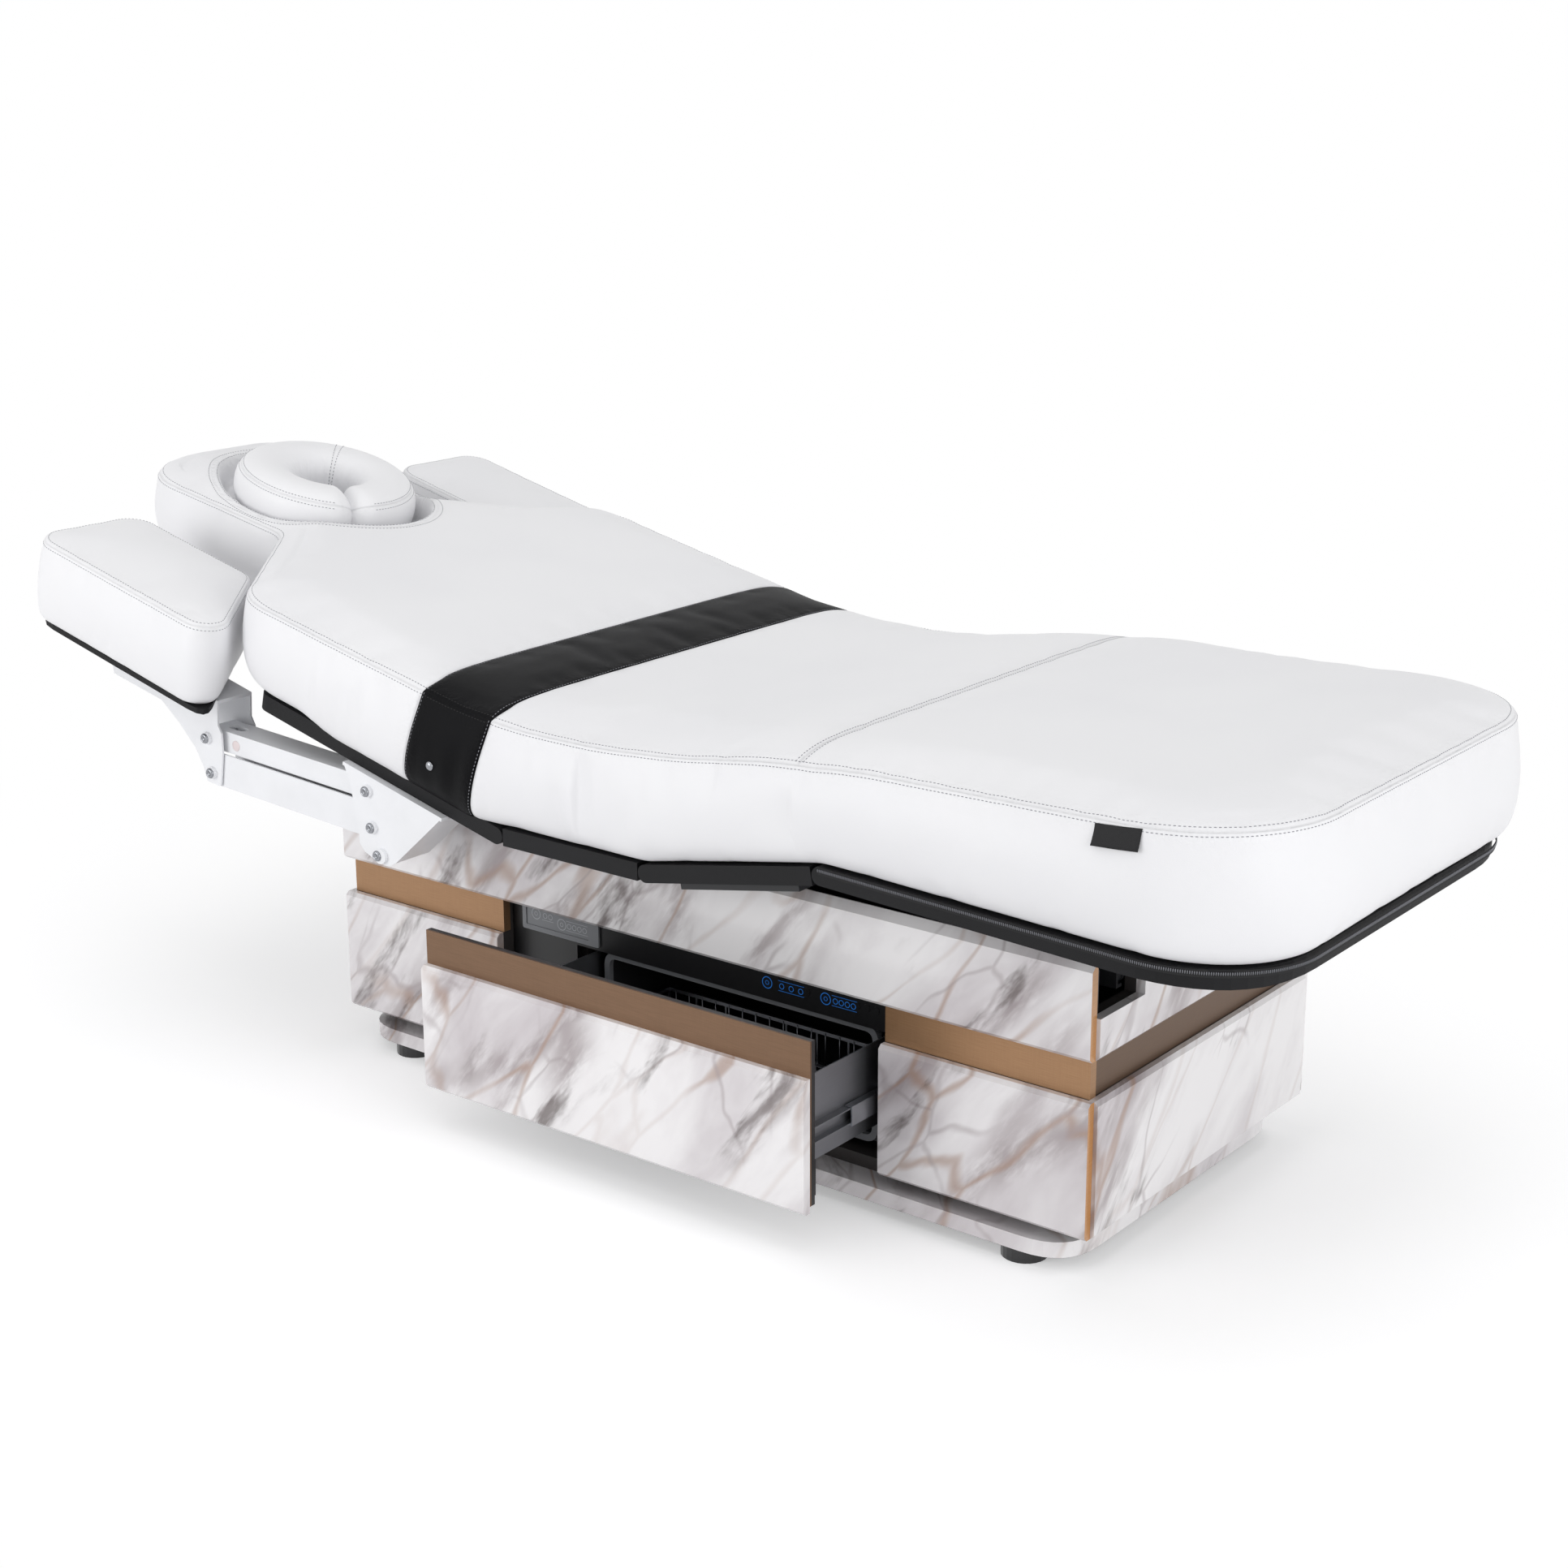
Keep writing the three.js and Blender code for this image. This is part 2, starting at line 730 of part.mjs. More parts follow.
// A pair of channels that the rollers run in, open toward the middle, with stops at the fixed end
function railPair(zMid, zFace, xEnd) {
  const s = lift.railSheet;
  const clear = lift.rollerRadius + runningGap;
  const x0 = fixedPivotX - lift.endMargin;
  const top = Math.max(zMid + clear + s, zFace);
  const bottom = Math.min(zMid - clear - s, zFace);
  const inner = scissorHalfWidth + runningGap;
  const outer = inner + lift.rollerWidth;
  const profile = [
    [inner, zMid + clear],
    [outer, zMid + clear],
    [outer, zMid - clear],
    [inner, zMid - clear],
    [inner, zMid - clear - s],
    [outer, zMid - clear - s],
    [outer, bottom],
    [outer + s, bottom],
    [outer + s, top],
    [outer, top],
    [outer, zMid + clear + s],
    [inner, zMid + clear + s],
  ].filter(([y, z], i, all) => i === 0 || y !== all[i - 1][0] || z !== all[i - 1][1]);
  return [-1, 1].flatMap((side) => {
    const rail = alongX(outline(profile.map(([y, z]) => [side * y, z])), x0, xEnd);
    const stopInner = side * (inner + runningGap);
    const stopOuter = side * (outer + s / 2);
    const stop = (from, to) =>
      box(
        from,
        to,
        Math.min(stopInner, stopOuter),
        Math.max(stopInner, stopOuter),
        zMid - clear - s / 2,
        zMid + clear + s / 2,
      );
    const after = fixedPivotX + clear;
    return [rail, stop(x0 + overlap, fixedPivotX - clear), stop(after, after + lift.lugThickness)];
  });
}

function liftBaseFrame() {
  const rails = railPair(lowerPivotZ, carcass.deckTop, railEnd);
  const reach = scissorHalfWidth + lift.rollerWidth + lift.railSheet;
  const x0 = fixedPivotX - lift.endMargin;
  const sole = lift.railSheet;
  const crossings = [x0, liftMidX - lift.crossingWidth / 2, railEnd - lift.crossingWidth].map((x) =>
    box(x, x + lift.crossingWidth, -reach, reach, carcass.deckTop, carcass.deckTop + sole),
  );
  return join(...rails, ...crossings);
}

const platform = { plate: 4, tieWidth: 40, reachY: 232 };
const boardBottom = seatHingeZ - boardThickness / 2;
const platformTop = boardBottom;

function liftPlatform() {
  const rails = railPair(upperPivotZ, platformTop, railEnd);
  const x0 = fixedPivotX - lift.endMargin;
  const plate = box(
    backHingeX + boardThickness,
    thighHingeX - boardThickness,
    -platform.reachY,
    platform.reachY,
    platformTop - platform.plate - clearance,
    platformTop - clearance,
  );
  const reach = scissorHalfWidth + lift.rollerWidth + lift.railSheet;
  const ties = [x0 + overlap, railEnd - platform.tieWidth - overlap].map((x) =>
    box(x, x + platform.tieWidth, -reach, reach, platformTop - platform.plate - overlap, platformTop - overlap),
  );
  const lugs = [...hingeCheeks(backHingeX, 1), ...hingeCheeks(thighHingeX, -1)];
  return join(plate, ...rails, ...ties, ...lugs);
}

// Section hinges: cheeks and pin on one section, an eye on the other
const hinge = {
  lugY: 205,
  eyeThickness: 8,
  cheek: 5,
  gap: 0.6,
  eyeRadius: 10.5,
  pinRadius: 5,
  tail: 30,
  pocket: 10,
  footDrop: 15,
};

function hingeCheeks(x, toward) {
  const eye = hinge.eyeThickness / 2 + hinge.gap;
  const full = eye + hinge.cheek;
  const r = hinge.eyeRadius;
  const low = platformTop - platform.plate - hinge.footDrop;
  const shape = new THREE.Shape();
  shape.moveTo(x - r, low);
  shape.lineTo(x + r, low);
  shape.lineTo(x + r, seatHingeZ);
  shape.absarc(x, seatHingeZ, r, 0, Math.PI, false);
  shape.closePath();
  const far = x + toward * (hinge.tail + boardThickness);
  const start = x - toward * (r - overlap);
  return [-1, 1].flatMap((side) => {
    const centre = side * hinge.lugY;
    const y0 = centre - full + overlap;
    const y1 = centre + full - overlap;
    const cheeks = [-full, eye].map((offset) => alongY(shape, centre + offset, centre + offset + hinge.cheek));
    const sole = low + overlap;
    const foot = box(Math.min(start, far), Math.max(start, far), y0, y1, sole, sole + platform.plate);
    const inner = far - toward * platform.plate;
    const rise = box(
      Math.min(inner, far),
      Math.max(inner, far),
      y0 + overlap,
      y1 - overlap,
      sole + overlap,
      platformTop - 2 * overlap,
    );
    const pin = rodY(x, seatHingeZ, hinge.pinRadius, y0, y1, 16);
    return [...cheeks, foot, rise, pin];
  });
}

// An eye plate reaching back along -X or +X to the tray under a section, in the section's own frame
function hingeEyes(toward) {
  const half = hinge.eyeThickness / 2;
  const r = hinge.eyeRadius;
  const under = -boardThickness / 2 - clearance;
  const low = under - tray.depth + overlap;
  const end = toward * (boardThickness + hinge.tail);
  const shape = new THREE.Shape();
  shape.moveTo(end, low);
  shape.lineTo(toward * boardThickness, low);
  shape.lineTo(0, -r);
  shape.absarc(0, 0, r, -Math.PI / 2, Math.PI / 2, toward > 0);
  shape.lineTo(toward * boardThickness, -hinge.pinRadius);
  shape.lineTo(toward * (boardThickness + hinge.pocket - overlap), under - overlap);
  shape.lineTo(end, under - overlap);
  shape.closePath();
  return [-1, 1].map((side) => {
    const y0 = side * hinge.lugY - half;
    const y1 = side * hinge.lugY + half;
    const bore = rodY(0, 0, hinge.pinRadius + hinge.gap, y0 - overrun, y1 + overrun, 16);
    return cut(alongY(shape, y0, y1), bore);
  });
}

// Upholstered boards: their nose is round about the hinge, so they turn without a gap
const tray = { depth: 14, sheet: 2.2, ribWidth: 24 };

function lugPockets(x0, x1) {
  const half = hinge.eyeThickness / 2 + hinge.gap + hinge.cheek + runningGap;
  return [-1, 1].map((side) =>
    box(x0, x1, side * hinge.lugY - half, side * hinge.lugY + half, -boardThickness, boardThickness),
  );
}

function nosedBoard(length, toward, halfWidth) {
  const r = boardThickness / 2;
  const flat = toward > 0 ? box(0, length, -halfWidth, halfWidth, -r, r) : box(-length, 0, -halfWidth, halfWidth, -r, r);
  const nose = rodY(0, 0, r, -halfWidth, halfWidth, 24);
  const pocketEnd = boardThickness + hinge.pocket;
  const pockets = lugPockets(toward > 0 ? -boardThickness : -pocketEnd, toward > 0 ? pocketEnd : boardThickness);
  return cut(join(flat, nose), ...pockets);
}

function trayPlate(length, toward, halfWidth) {
  const top = -boardThickness / 2 - clearance;
  const start = boardThickness + hinge.pocket;
  const end = length;
  const span = (a, b) => (toward > 0 ? [a, b] : [-b, -a]);
  const plate = box(...span(start, end), -halfWidth, halfWidth, top - tray.sheet, top);
  const edge = halfWidth - tray.ribWidth / 2;
  const ribs = [-edge, -hinge.lugY, hinge.lugY, edge].map((y) =>
    box(
      ...span(start + overlap, end - overlap),
      y - tray.ribWidth / 2 + overlap / 2,
      y + tray.ribWidth / 2 - overlap / 2,
      top - tray.depth,
      top - overlap,
    ),
  );
  return join(plate, ...ribs, ...hingeEyes(toward));
}

// Height of the boards' upper face along the table, at rest
const kneeX = thighHingeX + thighLength * Math.cos(thighAngle);
const kneeZ = seatHingeZ + thighLength * Math.sin(thighAngle);

function boardTop(x) {
  const r = boardThickness / 2;
  if (x < backHingeX) return seatHingeZ + r / Math.cos(backAngle) + (backHingeX - x) * Math.tan(backAngle);
  if (x < thighHingeX) return seatHingeZ + r;
  if (x < kneeX) return seatHingeZ + r / Math.cos(thighAngle) + (x - thighHingeX) * Math.tan(thighAngle);
  return kneeZ + r / Math.cos(legAngle) + (x - kneeX) * Math.tan(legAngle);
}

// Mattress: lofted through stations along the table
const mattress = {
  headX: -1205,
  headCorner: 92,
  neckX: -866,
  shoulderX: -690,
  shoulderBowShare: 0.03,
  footX: 905,
  footCorner: 165,
  bandStartX: -342,
  smooth: 90,
  sideBulge: 11,
  lowerInset: 26,
  crown: 19,
  seamGroove: 3,
  endBulge: 13,
  thickHead: 108,
  thickShoulder: 136,
  thickHinge: 147,
  thickKnee: 134,
  thickFoot: 166,
};
const smoothSteps = 8;
const endShares = [
  [0.5, 1],
  [0.18, 0.75],
];
const cornerShares = [0.1, 0.3, 0.6, 1];

function softTop(x) {
  let sum = 0;
  for (let i = 0; i <= smoothSteps; i += 1) {
    sum += boardTop(x + mattress.smooth * ((2 * i) / smoothSteps - 1));
  }
  return sum / (smoothSteps + 1);
}

function thicknessAt(x) {
  const knots = [
    [mattress.headX, mattress.thickHead],
    [mattress.shoulderX, mattress.thickShoulder],
    [backHingeX, mattress.thickHinge],
    [thighHingeX, mattress.thickHinge],
    [kneeX, mattress.thickKnee],
    [mattress.footX, mattress.thickFoot],
  ];
  const last = knots.length - 2;
  const i = Math.min(Math.max(knots.findIndex(([kx]) => kx >= x) - 1, 0), last);
  const from = knots[i];
  const to = knots[i + 1];
  const share = THREE.MathUtils.clamp((x - from[0]) / (to[0] - from[0]), 0, 1);
  return THREE.MathUtils.lerp(from[1], to[1], share);
}

function seamHeight(x) {
  return softTop(x) + thicknessAt(x);
}

// Half width of the plan outline, with round corners at both ends and sloping shoulders
function planHalfWidth(x) {
  const head = mattress.headX;
  const foot = mattress.footX;
  const headArc = Math.max(0, head + mattress.headCorner - x);
  const footArc = Math.max(0, x - foot + mattress.footCorner);
  const drop = (radius, into) => radius - Math.sqrt(Math.max(0, radius * radius - into * into));
  if (x <= mattress.neckX) return headHalfWidth - drop(mattress.headCorner, headArc);
  if (x < mattress.shoulderX) {
    const share = (x - mattress.neckX) / (mattress.shoulderX - mattress.neckX);
    const eased = share + mattress.shoulderBowShare * Math.sin(Math.PI * share);
    return THREE.MathUtils.lerp(headHalfWidth, mattressHalfWidth, eased);
  }
  return mattressHalfWidth - drop(mattress.footCorner, footArc);
}

// One closed section across the mattress, as y,z pairs going round
const sectionSides = [
  { rise: 0.0, out: 0.0, inset: 1 },
  { rise: 0.22, out: 0.72, inset: 0 },
  { rise: 0.55, out: 1.0, inset: 0 },
  { rise: 0.88, out: 0.45, inset: 0 },
];
const crownShares = [
  { across: 1.0, up: 0.0 },
  { across: 0.955, up: 0.42 },
  { across: 0.8, up: 0.82 },
  { across: 0.45, up: 1.0 },
];

function crossSection(x, shrink, proud) {
  const w = planHalfWidth(x) + proud;
  const mid = (boardTop(x) + clearance + seamHeight(x)) / 2;
  const low = THREE.MathUtils.lerp(boardTop(x) + clearance, mid, shrink);
  const high = THREE.MathUtils.lerp(seamHeight(x) + proud, mid, shrink);
  const h = high - low;
  const crown = mattress.crown * (1 - shrink) * Math.min(1, w / headHalfWidth);
  const right = sectionSides.map((s) => [
    w + mattress.sideBulge * s.out * (1 - shrink) - mattress.lowerInset * s.inset,
    low + h * s.rise,
  ]);
  const top = crownShares.map((c) => [(w - mattress.seamGroove) * c.across, high + crown * c.up]);
  const half = [...right, ...top];
  const mirrored = half.map(([y, z]) => [-y, z]).reverse();
  return [...half, ...mirrored];
}

function loft(rings) {
  const count = rings[0].length;
  const positions = rings.flat(2);
  const index = [];
  for (let r = 0; r + 1 < rings.length; r += 1) {
    for (let i = 0; i < count; i += 1) {
      const a = r * count + i;
      const b = r * count + ((i + 1) % count);
      index.push(a, b, a + count, b, b + count, a + count);
    }
  }
  const capAt = (r, flip) => {
    const centre = positions.length / 3;
    const sum = [0, 1, 2].map((k) => rings[r].reduce((s, p) => s + p[k], 0) / count);
    positions.push(...sum);
    for (let i = 0; i < count; i += 1) {
      const a = r * count + i;
      const b = r * count + ((i + 1) % count);
      if (flip) index.push(centre, a, b);
      else index.push(centre, b, a);
    }
  };
  capAt(0, false);
  capAt(rings.length - 1, true);
  const geometry = new THREE.BufferGeometry();
  geometry.setAttribute("position", new THREE.Float32BufferAttribute(positions, 3));
  geometry.setIndex(index);
  const flat = geometry.toNonIndexed();
  flat.computeVertexNormals();
  return flat;
}

function mattressPiece(stations, proud = 0) {
  const rings = stations.map(({ x, shrink = 0, reach = x }) =>
    crossSection(x, shrink, proud).map(([y, z]) => [reach, y, z]),
  );
  return loft(rings);
}

function between(x0, x1, steps) {
  return Array.from({ length: steps + 1 }, (_, i) => ({ x: THREE.MathUtils.lerp(x0, x1, i / steps) }));
}

const face = {
  centre: -782,
  surface: 137,
  recessLong: 190,
  recessWide: 144,
  recessFloorShare: 0.93,
  recessFloor: 103,
  holeRadius: 46,
  pillowRadius: 91,
  pillowHalfWidth: 39,
  pillowHalfHeight: 46,
  pillowFlatShare: 0.88,
  pillowStretch: 1.08,
  gapAngle: THREE.MathUtils.degToRad(-25),
  gapSpan: THREE.MathUtils.degToRad(44),
  endShrinkShares: [0.35, 0.75, 0.93],
  endReachShare: 0.6,
};

// Places a form built in the back section's own frame into the table's frame
function onBack(geometry) {
  return geometry.rotateY(backAngle).translate(backHingeX, 0, seatHingeZ);
}

function backMattress() {
  const head = mattress.headX;
  const corner = mattress.headCorner;
  const stations = [
    ...endShares.map(([shrink, out]) => ({ x: head, shrink, reach: head - mattress.endBulge * out })),
    { x: head },
    ...cornerShares.map((share) => ({ x: head + corner * share })),
    { x: (head + corner + mattress.neckX) / 2 },
    ...between(mattress.neckX, mattress.shoulderX, 4),
    ...between(mattress.shoulderX + corner / 2, mattress.bandStartX - clearance, 4),
  ];
  const body = mattressPiece(stations);
  const top = mattress.thickHinge + mattress.smooth;
  const depth = top - face.recessFloor;
  const floorRadius = face.recessLong * face.recessFloorShare;
  const slope = (face.recessLong - floorRadius) / (face.surface - face.recessFloor);
  const pocket = new THREE.CylinderGeometry(floorRadius + slope * depth, floorRadius, depth, 40);
  pocket.rotateX(Math.PI / 2).scale(1, face.recessWide / face.recessLong, 1);
  pocket.translate(face.centre, 0, face.recessFloor + depth / 2);
  const hole = rodZ(face.centre, 0, face.holeRadius, -boardThickness, top, 28);
  return cut(body, onBack(pocket), onBack(hole));
}

function facePillow() {
  const steps = 26;
  const sides = 12;
  const start = face.gapAngle + face.gapSpan / 2;
  const sweep = 2 * Math.PI - face.gapSpan;
  const bottom = face.recessFloor + clearance;
  const lowest = face.pillowHalfHeight * face.pillowFlatShare;
  const rings = [];
  const ringAt = (angle, scale) => {
    const ring = [];
    for (let i = 0; i < sides; i += 1) {
      const turn = (2 * Math.PI * i) / sides;
      const out = face.pillowRadius - scale * face.pillowHalfWidth * Math.cos(turn);
      const up = scale * face.pillowHalfHeight * Math.sin(turn);
      const flat = Math.max(up, -lowest);
      ring.push([
        face.centre + out * face.pillowStretch * Math.cos(angle),
        out * Math.sin(angle),
        bottom + lowest + flat,
      ]);
    }
    return ring;
  };
  const tip = (face.endReachShare * face.pillowHalfWidth) / face.pillowRadius;
  const shares = face.endShrinkShares;
  shares.forEach((s, i) => rings.push(ringAt(start - tip * (1 - i / shares.length), s)));
  for (let i = 0; i <= steps; i += 1) rings.push(ringAt(start + (sweep * i) / steps, 1));
  const last = start + sweep;
  shares.toReversed().forEach((s, i) => rings.push(ringAt(last + tip * ((i + 1) / shares.length), s)));
  return onBack(loft(rings));
}

// Armrests: parallelogram linkage between a bracket under the back board and one under the pad
const armrest = {
  plateOuterY: 393,
  plateInnerY: 329,
  plate: 3,
  flange: 5,
  tableBracketFrom: -88.8,
  tableBracketLength: 194.7,
  tableBracketHeight: 115,
  armBracketAhead: 38.332257,
  armBracketLength: 271.4,
  armBracketBelow: 18.106688,
  tableUpper: [-229.6, -33.7],
  tableLower: [-210.6, -81.6],
  stopBolt: [-186, -114.7],
  armLength: 332.5,
  armDrop: THREE.MathUtils.degToRad(10.5),
  boltRadius: 5,
  headRadius: 9,
  headHeight: 5,
  stopRadius: 11,
  lowerOuter: 27.5,
  upperOuter: 22.5,
  armWall: 3,
  upperBelow: 17,
  upperAbove: 14,
  lowerBelow: 19,
  lowerAbove: 31,
  endReach: 17,
  slotFrom: 0.86,
  slotTo: 0.955,
  slotWidth: 15,
  boardThickness: 8,
  boardInset: 9,
  padBottom: -22,
  padTop: 102.5,
};
const armrestMidY = (armrest.plateOuterY + armrest.plateInnerY) / 2;
const tableBracketShares = [
  [0, 0],
  [0.362, 0.887],
  [0.401, 0.948],
  [0.443, 0.983],
  [0.547, 1.0],
  [0.668, 0.97],
  [0.731, 0.897],
  [0.746, 0.796],
  [0.862, 0.361],
  [0.937, 0.132],
  [1.0, 0],
];
const armBracketShares = [
  [0.099, 0],
  [0.0755, 0.278],
  [0.04, 0.355],
  [0.0155, 0.565],
  [0, 0.954],
  [0.0125, 0.977],
  [0.105, 1.0],
  [0.147, 0.864],
  [0.228, 0.69],
  [0.374, 0.511],
  [0.528, 0.368],
  [0.932, 0.385],
  [1.0, 0],
];

function bracketShape(shares, from, length, top, height) {
  const points = shares.map(([u, v]) => [from - u * length, top - v * height]);
  return outline(points.reverse());
}

// Bolts run right across a bracket, with a button head at each end
function crossBolt([x, z], radius) {
  const outer = armrest.plateOuterY + armrest.headHeight;
  const inner = armrest.plateInnerY - armrest.headHeight;
  return [
    rodY(x, z, armrest.boltRadius, armrest.plateInnerY, armrest.plateOuterY, 12),
    rodY(x, z, radius, armrest.plateOuterY - overlap, outer, 14),
    rodY(x, z, radius, inner, armrest.plateInnerY + overlap, 14),
  ];
}

function bracketPlates(shape) {
  const t = armrest.plate;
  return [
    alongY(shape, armrest.plateOuterY - t, armrest.plateOuterY),
    alongY(shape, armrest.plateInnerY, armrest.plateInnerY + t),
  ];
}

const tableBracketTop = -boardThickness / 2 - clearance;

function tableBracket() {
  const shape = bracketShape(
    tableBracketShares,
    armrest.tableBracketFrom,
    armrest.tableBracketLength,
    tableBracketTop,
    armrest.tableBracketHeight,
  );
  const far = armrest.tableBracketFrom;
  const flange = box(
    far - armrest.tableBracketLength,
    far,
    armrest.plateInnerY,
    armrest.plateOuterY,
    tableBracketTop - armrest.flange,
    tableBracketTop,
  );
  const [cornerX, cornerZ] = tableBracketShares[1];
  const foot = [far - cornerX * armrest.tableBracketLength, tableBracketTop - cornerZ * armrest.tableBracketHeight];
  const web = alongY(
    outline([
      [far, tableBracketTop],
      [far - armrest.flange, tableBracketTop],
      [foot[0] - armrest.flange, foot[1]],
      foot,
    ]),
    armrest.plateInnerY + overlap,
    armrest.plateOuterY - overlap,
  );
  return join(
    ...bracketPlates(shape),
    flange,
    web,
    ...crossBolt(armrest.tableUpper, armrest.headRadius),
    ...crossBolt(armrest.tableLower, armrest.headRadius),
    ...crossBolt(armrest.stopBolt, armrest.stopRadius),
  );
}

const armReach = [
  -armrest.armLength * Math.cos(armrest.armDrop),
  -armrest.armLength * Math.sin(armrest.armDrop),
];
const armUpper = [armrest.tableUpper[0] + armReach[0], armrest.tableUpper[1] + armReach[1]];
const armLower = [armrest.tableLower[0] + armReach[0], armrest.tableLower[1] + armReach[1]];
const armBracketTop = armrest.padBottom - clearance - armrest.boardThickness - clearance;
const armBracketFrom = armUpper[0] + armrest.armBracketAhead;
const armBracketHeight = armBracketTop - armLower[1] + armrest.armBracketBelow;

function armBracket() {
  const shape = bracketShape(
    armBracketShares,
    armBracketFrom,
    armrest.armBracketLength,
    armBracketTop,
    armBracketHeight,
  );
  const start = armBracketFrom - armBracketShares[0][0] * armrest.armBracketLength;
  const flange = box(
    armBracketFrom - armrest.armBracketLength,
    start,
    armrest.plateInnerY,
    armrest.plateOuterY,
    armBracketTop - armrest.flange,
    armBracketTop,
  );
  return join(
    ...bracketPlates(shape),
    flange,
    ...crossBolt(armUpper, armrest.headRadius),
    ...crossBolt(armLower, armrest.headRadius),
  );
}

// A folded channel arm in its own frame: pivots at 0 and -armLength on the X axis
function channelArm(outer, below, above, openUp) {
  const t = armrest.armWall;
  const reach = armrest.endReach;
  const length = armrest.armLength;
  const y0 = armrestMidY - outer;
  const y1 = armrestMidY + outer;
  const radius = Math.min(reach, (below + above) / 2) - clearance;
  const side = rectangle(-length - reach, reach, -below, above, radius);
  const body = alongY(side, y0, y1);
  const hollow = openUp
    ? box(-length - reach - overrun, reach + overrun, y0 + t, y1 - t, t - below, above + overrun)
    : box(-length - reach - overrun, reach + overrun, y0 + t, y1 - t, -below - overrun, above - t);
  const bore = armrest.boltRadius + runningGap;
  const bores = [0, -length].map((x) => rodY(x, 0, bore, y0 - overrun, y1 + overrun, 12));
  return { body, cuts: [hollow, ...bores] };
}

function upperArm() {
  const { body, cuts } = channelArm(armrest.upperOuter, armrest.upperBelow, armrest.upperAbove, false);
  const half = armrest.slotWidth / 2;
  const slot = alongZ(
    rectangle(
      -armrest.armLength * armrest.slotTo,
      -armrest.armLength * armrest.slotFrom,
      armrestMidY - half,
      armrestMidY + half,
      half - clearance,
    ),
    0,
    armrest.upperAbove + overrun,
  );
  return cut(body, ...cuts, slot);
}

function lowerArm() {
  const { body, cuts } = channelArm(armrest.lowerOuter, armrest.lowerBelow, armrest.lowerAbove, true);
  return cut(body, ...cuts);
}

// Pad: a plan outline with its foot end cut parallel to the mattress shoulder, stacked in rings
const pad = {
  head: -900,
  foot: -487,
  innerY: 265,
  outerY: 457,
  skew: 151,
  corner: 42,
  cornerSteps: 4,
  tipShare: 1.6,
  bulge: 5,
  crown: 12,
  lowerInset: 8,
};

function padOutline(inset) {
  const shape = outline(
    [
      [pad.head + inset, pad.innerY + inset],
      [pad.foot - pad.skew - inset, pad.innerY + inset],
      [pad.foot - inset * pad.tipShare, pad.outerY - inset],
      [pad.head + inset, pad.outerY - inset],
    ],
    pad.corner,
  );
  const points = shape.getPoints(pad.cornerSteps);
  if (points[0].distanceTo(points[points.length - 1]) < clearance) points.pop();
  return points;
}

const padRings = [
  { inset: 1, out: 0, rise: 0 },
  { inset: 0, out: 0.8, rise: 0.25 },
  { inset: 0, out: 1, rise: 0.6 },
  { inset: 0, out: 0, rise: 1 },
];
const padCrownShares = [
  { inset: 0.07, up: 0.5 },
  { inset: 0.21, up: 0.85 },
  { inset: 0.42, up: 1 },
];

function armrestPad() {
  const height = armrest.padTop - armrest.padBottom;
  const rings = padRings.map((ring) => {
    const inset = pad.lowerInset * ring.inset - pad.bulge * ring.out;
    return padOutline(inset).map((p) => [p.x, p.y, armrest.padBottom + height * ring.rise]);
  });
  const halfWidth = (pad.outerY - pad.innerY) / 2;
  padCrownShares.forEach((share) => {
    const points = padOutline(halfWidth * share.inset);
    rings.push(points.map((p) => [p.x, p.y, armrest.padTop + pad.crown * share.up]));
  });
  return loft(rings);
}

function padBoard() {
  const points = padOutline(armrest.boardInset);
  const top = armrest.padBottom - clearance;
  return alongZ(new THREE.Shape(points), top - armrest.boardThickness, top);
}

// Mirrored across Y for the other side of the table
function mirrorY(geometry) {
  const mirrored = geometry.clone().scale(1, -1, 1);
  const position = mirrored.getAttribute("position");
  for (let i = 0; i < position.count; i += 3) {
    const [x, y, z] = [position.getX(i + 1), position.getY(i + 1), position.getZ(i + 1)];
    position.setXYZ(i + 1, position.getX(i + 2), position.getY(i + 2), position.getZ(i + 2));
    position.setXYZ(i + 2, x, y, z);
  }
  mirrored.computeVertexNormals();
  return mirrored;
}

function addArmrest(back, sideName, mirrored) {
  const place = (geometry) => {
    const loose = geometry.index ? geometry.toNonIndexed() : geometry;
    return mirrored ? mirrorY(loose) : loose;
  };
  const named = (part) => "armrest_" + sideName + "_" + part;
  add(back, named("table_bracket"), place(tableBracket()), whitePaint);
  add(back, named("pad_bracket"), place(armBracket()), whitePaint);
  add(back, named("pad_board"), place(padBoard()), darkBoard);
  add(back, named("pad"), place(armrestPad()), whiteLeather);
  const arms = [
    ["upper_arm", upperArm(), armrest.tableUpper],
    ["lower_arm", lowerArm(), armrest.tableLower],
  ];
  for (const [part, geometry, [x, z]] of arms) {
    const pivot = new THREE.Group();
    pivot.position.set(x, 0, z);
    pivot.rotation.y = -armrest.armDrop;
    back.add(pivot);
    add(pivot, named(part), place(geometry), whitePaint);
  }
}

